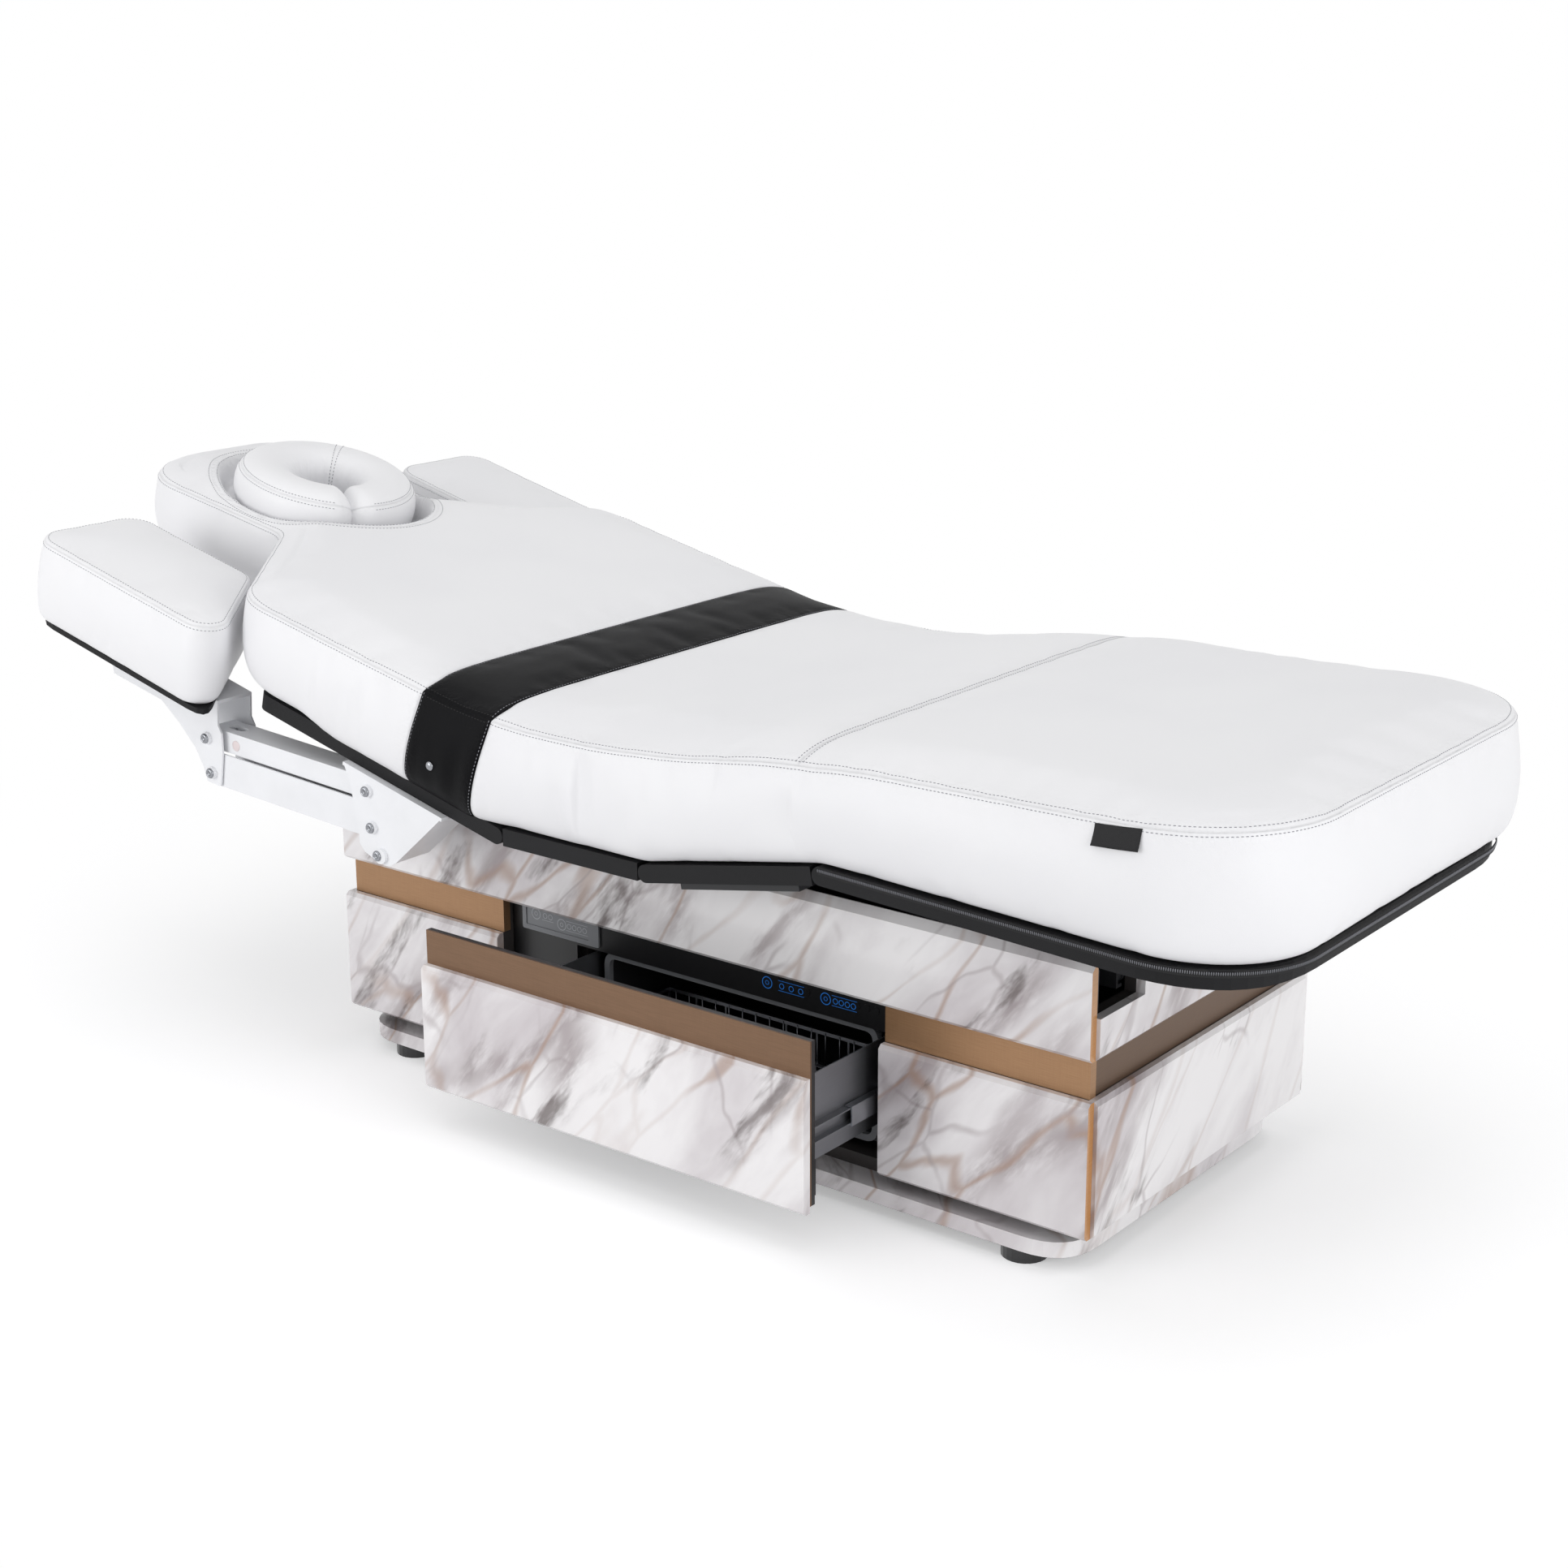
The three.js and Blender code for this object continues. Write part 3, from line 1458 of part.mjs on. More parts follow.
// Boards in plan: the back narrows to the head, the leg section has round foot corners
function backBoard() {
  const inset = mattressHalfWidth - boardHalfWidth;
  const slope = 1 / Math.cos(backAngle);
  const local = (x) => (x - backHingeX) * slope;
  const headEnd = -backBoardLength;
  const headCorner = mattress.headCorner - inset;
  const plan = outline(
    [
      [boardThickness, -boardHalfWidth],
      [boardThickness, boardHalfWidth],
      [local(mattress.shoulderX) + inset, boardHalfWidth],
      [local(mattress.neckX) + inset, headHalfWidth - inset],
      [headEnd, headHalfWidth - inset],
      [headEnd, inset - headHalfWidth],
      [local(mattress.neckX) + inset, inset - headHalfWidth],
      [local(mattress.shoulderX) + inset, -boardHalfWidth],
    ],
    [0, 0, inset, 0, headCorner, headCorner, 0, inset],
  );
  const trim = alongZ(plan, -boardThickness, boardThickness);
  const whole = toSolid(nosedBoard(backBoardLength, -1, boardHalfWidth)).intersect(toSolid(trim));
  const hole = rodZ(face.centre, 0, face.holeRadius, -boardThickness, boardThickness, 28);
  return cut(fromSolid(whole), hole);
}

function legBoard() {
  const corner = mattress.footCorner;
  const plan = outline(
    [
      [-boardThickness, -boardHalfWidth],
      [legLength, -boardHalfWidth],
      [legLength, boardHalfWidth],
      [-boardThickness, boardHalfWidth],
    ],
    [0, corner, corner, 0],
  );
  const trim = alongZ(plan, -boardThickness, boardThickness, 12);
  const whole = toSolid(nosedBoard(legLength, 1, boardHalfWidth)).intersect(toSolid(trim));
  return fromSolid(whole);
}

function seatBoard() {
  const r = boardThickness / 2;
  const gap = r + jointGap / 2;
  const board = box(backHingeX + gap, thighHingeX - gap, -boardHalfWidth, boardHalfWidth, boardBottom, boardBottom + boardThickness);
  const half = hinge.eyeThickness / 2 + hinge.gap + hinge.cheek + runningGap;
  const reach = hinge.tail + boardThickness;
  const pockets = [-1, 1].flatMap((side) => {
    const y0 = side * hinge.lugY - half;
    const y1 = side * hinge.lugY + half;
    const z0 = boardBottom - overrun;
    const z1 = boardBottom + boardThickness + overrun;
    return [
      box(backHingeX - reach, backHingeX + gap + hinge.pinRadius, y0, y1, z0, z1),
      box(thighHingeX - gap - hinge.pinRadius, thighHingeX + reach, y0, y1, z0, z1),
    ];
  });
  return cut(board, ...pockets);
}

function thighBoard() {
  const r = boardThickness / 2;
  const gap = r + jointGap / 2;
  const board = nosedBoard(thighLength - gap, 1, boardHalfWidth);
  const half = hinge.eyeThickness / 2 + hinge.gap + hinge.cheek + runningGap;
  const pockets = [-1, 1].map((side) =>
    box(
      thighLength - gap - hinge.pinRadius,
      thighLength + overrun,
      side * hinge.lugY - half,
      side * hinge.lugY + half,
      -boardThickness,
      boardThickness,
    ),
  );
  return cut(board, ...pockets);
}

// The thigh tray also carries the cheeks and pins of the knee hinge
function thighTray() {
  const eye = hinge.eyeThickness / 2 + hinge.gap;
  const full = eye + hinge.cheek;
  const r = hinge.eyeRadius;
  const knee = thighLength;
  const root = knee - boardThickness - hinge.tail;
  const under = -boardThickness / 2 - clearance;
  const low = under - tray.depth + overlap;
  const shape = new THREE.Shape();
  shape.moveTo(root - overrun, low);
  shape.lineTo(knee, low);
  shape.lineTo(knee + r, 0);
  shape.absarc(knee, 0, r, 0, Math.PI, false);
  shape.lineTo(knee - boardThickness / 2 - hinge.pinRadius, under - overlap);
  shape.lineTo(root - overrun, under - overlap);
  shape.closePath();
  const cheeks = [-1, 1].flatMap((side) => {
    const centre = side * hinge.lugY;
    const plates = [-full, eye].map((offset) => alongY(shape, centre + offset, centre + offset + hinge.cheek));
    const pin = rodY(knee, 0, hinge.pinRadius, centre - full + overlap, centre + full - overlap, 16);
    return [...plates, pin];
  });
  return join(trayPlate(root, 1, boardHalfWidth - boardThickness), ...cheeks);
}

function addTop(root) {
  add(root, "scissor_platform", liftPlatform(), darkSteel);
  add(root, "seat_board", seatBoard(), blackVinyl);
  const back = new THREE.Group();
  back.position.set(backHingeX, 0, seatHingeZ);
  back.rotation.y = backAngle;
  root.add(back);
  add(back, "back_board", backBoard(), blackVinyl);
  add(back, "back_tray", trayPlate(backTrayLength, -1, armrest.plateInnerY - armrest.headHeight - jointGap), darkSteel);
  addArmrest(back, "left", true);
  addArmrest(back, "right", false);
  const thigh = new THREE.Group();
  thigh.position.set(thighHingeX, 0, seatHingeZ);
  thigh.rotation.y = -thighAngle;
  root.add(thigh);
  add(thigh, "thigh_board", thighBoard(), blackVinyl);
  add(thigh, "thigh_tray", thighTray(), darkSteel);
  const leg = new THREE.Group();
  leg.position.set(thighLength, 0, 0);
  leg.rotation.y = thighAngle - legAngle;
  thigh.add(leg);
  add(leg, "leg_board", legBoard(), blackVinyl);
    add(leg, "leg_tray", trayPlate(legTrayLength, 1, legTrayHalfWidth), darkSteel);
}

function addMattress(root) {
  const split = clearance;
  const foot = mattress.footX;
  const corner = mattress.footCorner;
  add(root, "mattress_back", backMattress(), whiteLeather);
  add(root, "mattress_band", mattressPiece(between(mattress.bandStartX, backHingeX - split, 4), 1), blackLeather);
  add(root, "mattress_seat", mattressPiece(between(backHingeX + split, thighHingeX - split, 6)), whiteLeather);
  add(root, "mattress_thigh", mattressPiece(between(thighHingeX + split, kneeX - split, 6)), whiteLeather);
  const legStations = [
    ...between(kneeX + split, foot - corner, 5),
    ...cornerShares.slice(0, -1).toReversed().map((share) => ({ x: foot - corner * share })),
    { x: foot },
    ...endShares.toReversed().map(([shrink, out]) => ({ x: foot, shrink, reach: foot + mattress.endBulge * out })),
  ];
  add(root, "mattress_leg", mattressPiece(legStations), whiteLeather);
  add(root, "face_pillow", facePillow(), whiteLeather);
}

function addLift(root) {
  add(root, "lift_base_frame", liftBaseFrame(), darkSteel);
  const outer = new THREE.Group();
  outer.position.set(fixedPivotX, 0, lowerPivotZ);
  outer.rotation.y = -liftRestAngle;
  root.add(outer);
  add(outer, "scissor_outer_frame", scissorOuterFrame(), darkSteel);
  const inner = new THREE.Group();
  inner.position.set(fixedPivotX, 0, upperPivotZ);
  inner.rotation.y = liftRestAngle;
  root.add(inner);
  add(inner, "scissor_inner_frame", scissorInnerFrame(), darkSteel);
}

const table = new THREE.Group();
addCabinet(table);
addCompartment(table);
addDrawer(table);
addLift(table);
addTop(table);
addMattress(table);

// The origin is the middle of the overall box, on the floor
const limits = new THREE.Box3().setFromObject(table, true);
table.position.x = -(limits.min.x + limits.max.x) / 2;

export default table;
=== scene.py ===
# Treatment table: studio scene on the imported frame. Metres, +X to the foot end, -Y is the drawer side, +Z up
import math
import bmesh
import bpy
import numpy as np
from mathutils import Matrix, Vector
from mathutils.bvhtree import BVHTree
from mathutils.kdtree import KDTree


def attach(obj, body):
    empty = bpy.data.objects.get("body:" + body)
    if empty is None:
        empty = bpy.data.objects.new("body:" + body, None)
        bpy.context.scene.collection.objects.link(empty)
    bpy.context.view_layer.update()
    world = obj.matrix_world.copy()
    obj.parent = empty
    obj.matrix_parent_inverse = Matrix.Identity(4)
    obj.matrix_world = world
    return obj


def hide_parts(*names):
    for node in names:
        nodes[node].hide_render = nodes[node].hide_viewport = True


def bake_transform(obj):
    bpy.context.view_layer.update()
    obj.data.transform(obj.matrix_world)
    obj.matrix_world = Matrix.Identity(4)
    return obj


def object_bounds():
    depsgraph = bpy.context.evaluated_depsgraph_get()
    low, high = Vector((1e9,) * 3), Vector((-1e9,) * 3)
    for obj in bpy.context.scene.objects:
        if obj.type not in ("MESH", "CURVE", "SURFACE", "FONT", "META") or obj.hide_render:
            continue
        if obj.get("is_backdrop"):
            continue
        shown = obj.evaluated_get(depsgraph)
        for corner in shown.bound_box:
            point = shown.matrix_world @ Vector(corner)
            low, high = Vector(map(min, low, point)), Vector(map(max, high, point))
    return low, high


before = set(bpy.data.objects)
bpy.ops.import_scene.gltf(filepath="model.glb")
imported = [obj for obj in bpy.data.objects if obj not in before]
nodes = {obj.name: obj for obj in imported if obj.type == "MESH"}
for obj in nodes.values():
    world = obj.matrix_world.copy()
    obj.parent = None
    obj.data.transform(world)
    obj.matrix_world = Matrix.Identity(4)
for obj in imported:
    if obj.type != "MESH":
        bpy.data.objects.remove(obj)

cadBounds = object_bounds()
scene = bpy.context.scene
print("frame loaded:", len(nodes), "nodes")

# camera where the photographer stood, low beside the foot end
camera = {
    "place": (2.223, -2.706, 1.471),
    "yaw": 127.41,
    "pitch": -15.67,
    "focal": 59.0,
    "shiftX": -0.0152,
    "shiftY": -0.0295,
}


def makeCamera():
    data = bpy.data.cameras.new("tableCamera")
    data.sensor_width = 36
    data.lens = camera["focal"]
    data.shift_x, data.shift_y = camera["shiftX"], camera["shiftY"]
    data.clip_end = 50
    holder = bpy.data.objects.new("tableCamera", data)
    scene.collection.objects.link(holder)
    holder.location = camera["place"]
    holder.rotation_euler = (math.radians(90 + camera["pitch"]), 0, math.radians(camera["yaw"] - 90))
    scene.camera = holder


makeCamera()
print("camera placed")


# shader maths: a Wire is one socket, and expressions on wires add the Math nodes
class Wire:
    def __init__(self, paint, socket):
        self.paint, self.socket = paint, socket

    def __add__(self, other):
        return self.paint.math("ADD", self, other)

    def __sub__(self, other):
        return self.paint.math("SUBTRACT", self, other)

    def __mul__(self, other):
        return self.paint.math("MULTIPLY", self, other)

    def __pow__(self, other):
        return self.paint.math("POWER", self, other)

    def __gt__(self, other):
        return self.paint.math("GREATER_THAN", self, other)

    def __lt__(self, other):
        return self.paint.math("LESS_THAN", self, other)

    def __radd__(self, other):
        return self.paint.math("ADD", other, self)

    def __rsub__(self, other):
        return self.paint.math("SUBTRACT", other, self)

    def __rmul__(self, other):
        return self.paint.math("MULTIPLY", other, self)

    def __abs__(self):
        return self.paint.math("ABSOLUTE", self)


class Paint:
    def __init__(self, name, owner=None):
        self.material = owner or bpy.data.materials.new(name)
        self.material.use_nodes = True
        self.tree = self.material.node_tree
        self.tree.nodes.clear()

    # one method makes any node: settings first, then values or links of its sockets
    def node(self, kind, settings=None, sockets=None, out=0):
        made = self.tree.nodes.new(kind)
        for key, value in (settings or {}).items():
            setattr(made, key, value)
        for key, value in (sockets or {}).items():
            if isinstance(value, Wire):
                self.tree.links.new(value.socket, made.inputs[key])
            else:
                made.inputs[key].default_value = value
        return Wire(self, made.outputs[out]) if len(made.outputs) else None

    def math(self, operation, *values):
        return self.node("ShaderNodeMath", {"operation": operation}, dict(enumerate(values)))

    def mix(self, factor, a, b):
        wide = [c if isinstance(c, Wire) else (*c, 1) for c in (a, b)]
        return self.node("ShaderNodeMix", {"data_type": "RGBA"}, {0: factor, 6: wide[0], 7: wide[1]}, out=2)

    def smooth(self, value, low, high):
        sockets = {0: value, 1: low, 2: high, 3: 0.0, 4: 1.0}
        return self.node("ShaderNodeMapRange", {"interpolation_type": "SMOOTHSTEP"}, sockets)

    def place(self):
        return self.node("ShaderNodeTexCoord", out=3)

    def turned(self, vector, turn=(0, 0, 0), scale=(1, 1, 1)):
        return self.node("ShaderNodeMapping", {}, {0: vector, 2: turn, 3: scale})

    def noise(self, vector, scale, detail=3.0, rough=0.5, warp=0.0):
        sockets = {"Vector": vector, "Scale": scale, "Detail": detail, "Roughness": rough, "Distortion": warp}
        return self.node("ShaderNodeTexNoise", {}, sockets)

    def bent(self, vector, scale, amount):
        shift = self.node("ShaderNodeTexNoise", {}, {"Vector": vector, "Scale": scale, "Detail": 3.0}, out=1)
        sockets = {0: shift, 1: (amount,) * 3, 2: vector}
        return self.node("ShaderNodeVectorMath", {"operation": "MULTIPLY_ADD"}, sockets)

    # how far each spot is from the border of its cell
    def cells(self, vector, scale):
        settings = {"feature": "DISTANCE_TO_EDGE"}
        return self.node("ShaderNodeTexVoronoi", settings, {"Vector": vector, "Scale": scale})

    # long thin lines: the borders of stretched cells
    def veins(self, vector, scale, width):
        return 1 - self.smooth(self.cells(vector, scale), 0.0, width)

    def split(self, vector):
        parts = self.tree.nodes.new("ShaderNodeSeparateXYZ")
        self.tree.links.new(vector.socket, parts.inputs[0])
        return [Wire(self, parts.outputs[i]) for i in range(3)]

    def attribute(self, name):
        return self.node("ShaderNodeAttribute", {"attribute_name": name}, out=2)

    def bump(self, height, distance, strength=1.0, under=None):
        sockets = {"Height": height, "Distance": distance, "Strength": strength}
        if under:
            sockets["Normal"] = under
        return self.node("ShaderNodeBump", {}, sockets)

    def surface(self, colour, roughness, normal=None, **fixed):
        sockets = {"Base Color": colour if isinstance(colour, Wire) else (*colour, 1), "Roughness": roughness}
        if normal:
            sockets["Normal"] = normal
        sockets.update({key.replace("_", " "): value for key, value in fixed.items()})
        shader = self.node("ShaderNodeBsdfPrincipled", {}, sockets)
        self.node("ShaderNodeOutputMaterial", {}, {"Surface": shader})
        return self.material


def rgb(*colour):
    return tuple(c / 255 / 12.92 if c < 11 else ((c / 255 + 0.055) / 1.055) ** 2.4 for c in colour)


# marble laminate: veins climb towards the foot end, the back and the top
marbleLook = {
    "white": rgb(240, 238, 239), "grey": rgb(190, 182, 186), "mauve": rgb(158, 147, 149),
    "tan": rgb(164, 132, 112), "dark": rgb(92, 80, 78), "foot": rgb(22, 22, 24), "footTop": 0.0182,
    "across": (1.25, 1.25, -1), "stretch": (1.45, 0.5, 0.5), "streak": (1.6, 0.3, 0.3),
    "gold": rgb(176, 122, 68), "goldLight": rgb(196, 142, 86), "frontMiddle": 0.15, "frontReach": 0.6335,
    # noises: scale, detail, roughness, warp, then where each starts and where it is full
    "cloud": (4.2, 5.0, 0.55, 0.5, 0.44, 0.66), "fog": (10.0, 4.0, 0.6, 0.4, 0.42, 0.7),
    "drift": (4.4, 3.0, 0.5, 0.0, 0.44, 0.58), "patch": (5.3, 3.0, 0.5, 0.3, 0.46, 0.58),
    "feather": (26.0, 4.0, 0.6, 0.0, 0.35, 0.6), "smudge": (12.0, 5.0, 0.6, 0.0, 0.56, 0.68),
    # veins: scale and width, and the scale and reach of what bends them
    "wideVein": (5.0, 0.16), "tanVein": (7.0, 0.04), "fineVein": (8.0, 0.03),
    "veinBend": (7.0, 0.09), "smudgeBend": (9.0, 0.05), "fineBend": (6.0, 0.1),
}


def marblePaint(name, goldEnds=False, feet=False):
    look = marbleLook
    p = Paint(name)
    turn = Vector(look["across"]).rotation_difference(Vector((1, 0, 0))).to_euler()
    straight = p.turned(p.place(), turn=turn)
    along, streaks = p.turned(straight, scale=look["stretch"]), p.turned(straight, scale=look["streak"])

    def noise(vector, key):
        *kind, start, full = look[key]
        return p.smooth(p.noise(vector, *kind), start, full)

    drift, patch, feather = noise(along, "drift"), noise(along, "patch"), noise(streaks, "feather")
    soft = p.bent(streaks, *look["veinBend"])
    wide = p.veins(soft, *look["wideVein"]) * feather * drift
    line = p.veins(soft, *look["tanVein"]) * (0.25 + drift * 0.75)
    fine = p.veins(p.bent(along, *look["fineBend"]), *look["fineVein"]) * patch
    smudge = noise(p.bent(streaks, *look["smudgeBend"]), "smudge") * patch * feather
    colour = p.mix(noise(along, "cloud") * 0.62 + noise(along, "fog") * 0.24, look["white"], look["grey"])
    layers = ((wide, 0.85, "mauve"), (line, 0.62, "tan"), (fine, 0.45, "mauve"), (smudge, 0.85, "dark"))
    for mask, strength, tone in layers:
        colour = p.mix(mask * strength, colour, look[tone])
    rough = 0.16 + p.noise(p.place(), 40.0, 2.0) * 0.05
    if goldEnds:
        x = p.split(p.place())[0]
        facing = p.split(p.node("ShaderNodeNewGeometry", out=1))[0]
        rim = (abs(x - look["frontMiddle"]) > look["frontReach"]) * (abs(facing) > 0.6)
        brushed = p.noise(p.turned(p.place(), scale=(90, 4, 900)), 1.0, 2.0)
        colour = p.mix(rim, colour, p.mix(brushed, look["gold"], look["goldLight"]))
    if feet:
        low = p.split(p.place())[2] < look["footTop"]
        colour = p.mix(low, colour, look["foot"])
    return p.surface(colour, rough, Coat_Weight=0.35, Coat_Roughness=0.06)


def bronzePaint(name, shade, light):
    p = Paint(name)
    streak = p.noise(p.turned(p.place(), scale=(30, 30, 1500)), 1.0, 3.0, 0.6)
    cross = p.noise(p.turned(p.place(), scale=(700, 700, 30)), 1.0, 2.0)
    tone = p.smooth(streak * 0.8 + cross * 0.2, 0.3, 0.7)
    height = streak + cross * 0.4
    return p.surface(p.mix(tone, shade, light), 0.34 + tone * 0.08, p.bump(height, 0.00008), Metallic=0.55)


# leather: fine grain, soft puckers beside each seam, and the seam's own groove with painted shade in it
leatherLook = {
    "grain": 950, "speck": 1600, "sway": 9.0, "patch": 3.5, "pucker": 130, "groove": 0.0032, "reach": 0.026,
    "poreDepth": 0.00012, "swayHeight": 0.0012, "puckerHeight": 0.0016, "grooveDepth": 0.0011,
    # painted shade along each seam: full up to shadeFrom, gone by shadeTo, and how dark at most
    "shadeFrom": 0.0003, "shadeTo": 0.0014, "shade": 0.14,
}


def leatherPaint(name, base, worn, roughness, grain=0.5, seams=True, shine=0.45):
    look = leatherLook
    p = Paint(name)
    spot = p.place()
    pores = p.smooth(p.cells(spot, look["grain"]), 0.0, 0.25) * grain
    pores = pores + p.noise(spot, look["speck"], 2.0) * 0.3
    tone = p.smooth(p.noise(spot, look["patch"], 2.0), 0.35, 0.7)
    colour = p.mix(tone * 0.5, base, worn)
    normal = p.bump(p.noise(spot, look["sway"], 3.0, 0.5, 0.4), look["swayHeight"], 0.6)
    if seams:
        gap = p.attribute("seamGap")
        near = 1 - p.smooth(gap, look["groove"], look["reach"])
        pucker = p.noise(spot, look["pucker"], 2.0, 0.5, 0.5) * near
        normal = p.bump(pucker, look["puckerHeight"], 0.8, normal)
        normal = p.bump(p.smooth(gap, 0.0, look["groove"]), look["grooveDepth"], 1.0, normal)
        # painted shade: the leather turns darker in and beside the seam's groove
        shade = (1 - p.smooth(gap, look["shadeFrom"], look["shadeTo"])) * look["shade"]
        colour = p.mix(shade, colour, [c * 0.35 for c in base])
    normal = p.bump(pores, look["poreDepth"], 0.7, normal)
    return p.surface(colour, roughness + pores * 0.08, normal, Specular_IOR_Level=shine)


def coatedPaint(name, base, roughness, texture=0.00006, metallic=0.0, scale=500.0):
    p = Paint(name)
    peel = p.noise(p.place(), scale, 3.0, 0.55)
    tone = p.smooth(p.noise(p.place(), 14.0, 3.0), 0.3, 0.75)
    colour = p.mix(tone * 0.35, base, [min(1, c * 0.86 + 0.004) for c in base])
    return p.surface(colour, roughness + peel * 0.07, p.bump(peel, texture), Metallic=metallic)


def brushedPaint(name, base, roughness, scale=(30, 900, 900)):
    p = Paint(name)
    streak = p.noise(p.turned(p.place(), scale=scale), 1.0, 3.0, 0.6)
    colour = p.mix(streak, [c * 0.82 for c in base], base)
    return p.surface(colour, roughness + streak * 0.12, p.bump(streak, 0.00004), Metallic=1.0)


def boardPaint(name, base, light):
    p = Paint(name)
    spot = p.turned(p.place(), scale=(300, 300, 700))
    chips = p.node("ShaderNodeTexVoronoi", {}, {"Vector": spot, "Scale": 1.0})
    fibre = p.noise(p.turned(p.place(), scale=(60, 60, 400)), 1.0, 4.0)
    tone = p.smooth(chips * 0.6 + fibre * 0.5, 0.3, 0.9)
    return p.surface(p.mix(tone, base, light), 0.62, p.bump(fibre, 0.0001))


def glowPaint(name, base, strength):
    p = Paint(name)
    flicker = p.mix(p.noise(p.place(), 300.0, 2.0), base, [c * 0.8 for c in base])
    return p.surface(flicker, 0.4, Emission_Color=(*base, 1), Emission_Strength=strength)


paints = {
    "frontMarble": marblePaint("marbleFront", goldEnds=True),
    "marble": marblePaint("marbleSlab"),
    "plinth": marblePaint("marblePlinth", feet=True),
    "bronze": bronzePaint("brushedBronze", rgb(152, 116, 84), rgb(164, 127, 93)),
    # painted shade: the drawer band's bronze is a darker copy of the front bands' bronze
    "paintedShadeBronzeDrawer": bronzePaint("brushedBronzePaintedShadeDrawer", rgb(114, 87, 65), rgb(124, 95, 72)),
    # painted shade: the foot-end band's bronze is a darker copy still, for the shade under the mattress's
    # overhang
    "paintedShadeBronzeEnd": bronzePaint("brushedBronzePaintedShadeEnd", rgb(96, 74, 58), rgb(106, 84, 66)),
    "whiteLeather": leatherPaint("whiteLeather", rgb(236, 236, 238), rgb(230, 230, 233), 0.4),
    "blackLeather": leatherPaint("blackLeather", rgb(9, 9, 11), rgb(14, 14, 17), 0.42, shine=0.06),
    "vinyl": leatherPaint("blackVinyl", rgb(18, 18, 20), rgb(26, 26, 29), 0.5, 0.8, seams=False, shine=0.2),
    "whitePaint": coatedPaint("whitePowderCoat", rgb(236, 237, 240), 0.3),
    "darkSteel": coatedPaint("blackPowderCoat", rgb(30, 31, 34), 0.5, 0.0001),
    "carcass": coatedPaint("melamineBoard", rgb(54, 50, 49), 0.55, 0.00008, scale=260.0),
    "blackBoard": coatedPaint("blackPanel", rgb(18, 18, 20), 0.3, 0.00003),
    "liner": coatedPaint("blackLiner", rgb(24, 24, 27), 0.5, 0.00012, scale=160.0),
    "gasket": coatedPaint("greyRubber", rgb(116, 118, 122), 0.55, 0.0001, scale=220.0),
    "overlay": coatedPaint("greyOverlay", rgb(122, 124, 128), 0.4, 0.00004),
    "innerPanel": boardPaint("drawerPanel", rgb(30, 30, 32), rgb(44, 44, 47)),
    "slide": brushedPaint("zincSlide", rgb(178, 181, 186), 0.3),
    "side": brushedPaint("steelSide", rgb(150, 152, 157), 0.38, scale=(900, 30, 900)),
    "wire": brushedPaint("chromeWire", rgb(132, 134, 139), 0.3),
    "bolt": brushedPaint("chromeBolt", rgb(158, 160, 165), 0.2, scale=(600, 600, 600)),
    "thread": coatedPaint("greyThread", rgb(136, 137, 143), 0.7, 0.00005, scale=2500.0),
    "darkThread": coatedPaint("darkThread", rgb(10, 10, 11), 0.7, 0.00005, scale=2500.0),
    "zip": coatedPaint("zipTeeth", rgb(112, 113, 118), 0.35, 0.00003, metallic=0.5, scale=900.0),
    "tape": leatherPaint("zipTape", rgb(20, 20, 22), rgb(30, 30, 32), 0.75, 1.2, seams=False),
    "plug": coatedPaint("pinkPlug", rgb(226, 213, 213), 0.4),
    "blueGlow": glowPaint("blueRing", rgb(30, 96, 170), 0.5),
    "greyGlow": glowPaint("greyRing", rgb(168, 171, 176), 0.1),
}

nodePaints = {
    "frontMarble": ["front_lower_left_panel", "front_lower_right_panel", "front_upper_panel"],
    "marble": ["foot_end_lower_panel", "foot_end_upper_panel", "head_end_lower_panel", "head_end_upper_panel",
               "back_lower_panel", "back_upper_panel", "drawer_front"],
    "plinth": ["plinth_with_feet"],
    "bronze": ["front_band_left", "front_band_right"],
    # the drawer band takes the darker bronze copy, which holds painted shade
    "paintedShadeBronzeDrawer": ["drawer_band"],
    # the foot-end band takes the darkest bronze copy, which holds painted shade
    "paintedShadeBronzeEnd": ["rear_band"],
    "carcass": ["carcass"],
    "gasket": ["cavity_gasket"],
    "liner": ["cavity_liner"],
    "blackBoard": ["control_fascia", "drawer_backing"],
    "innerPanel": ["drawer_inner_panel"],
    "overlay": ["control_module"],
    "slide": ["slide_outer_left", "slide_outer_right", "slide_middle_left", "slide_middle_right"],
    "side": ["drawer_side_left", "drawer_side_right"],
    "wire": ["drawer_basket"],
    "darkSteel": ["lift_base_frame", "scissor_outer_frame", "scissor_inner_frame", "scissor_platform",
                  "back_tray", "thigh_tray", "leg_tray"],
    "vinyl": ["seat_board", "back_board", "thigh_board", "leg_board", "armrest_left_pad_board",
              "armrest_right_pad_board"],
    "whitePaint": ["armrest_%s_%s" % (side, piece) for side in ("left", "right")
                   for piece in ("table_bracket", "pad_bracket", "upper_arm", "lower_arm")],
}
for key, names in nodePaints.items():
    for name in names:
        slots = nodes[name].data.materials
        slots.clear()
        slots.append(paints[key])
print("frame painted")


def addPiece(name, verts, faces, paint, smooth=True):
    mesh = bpy.data.meshes.new(name)
    mesh.from_pydata([tuple(v) for v in verts], [], [tuple(f) for f in faces])
    mesh.update()
    mesh.materials.append(paints[paint])
    mesh.polygons.foreach_set("use_smooth", [smooth] * len(mesh.polygons))
    piece = bpy.data.objects.new(name, mesh)
    scene.collection.objects.link(piece)
    return piece


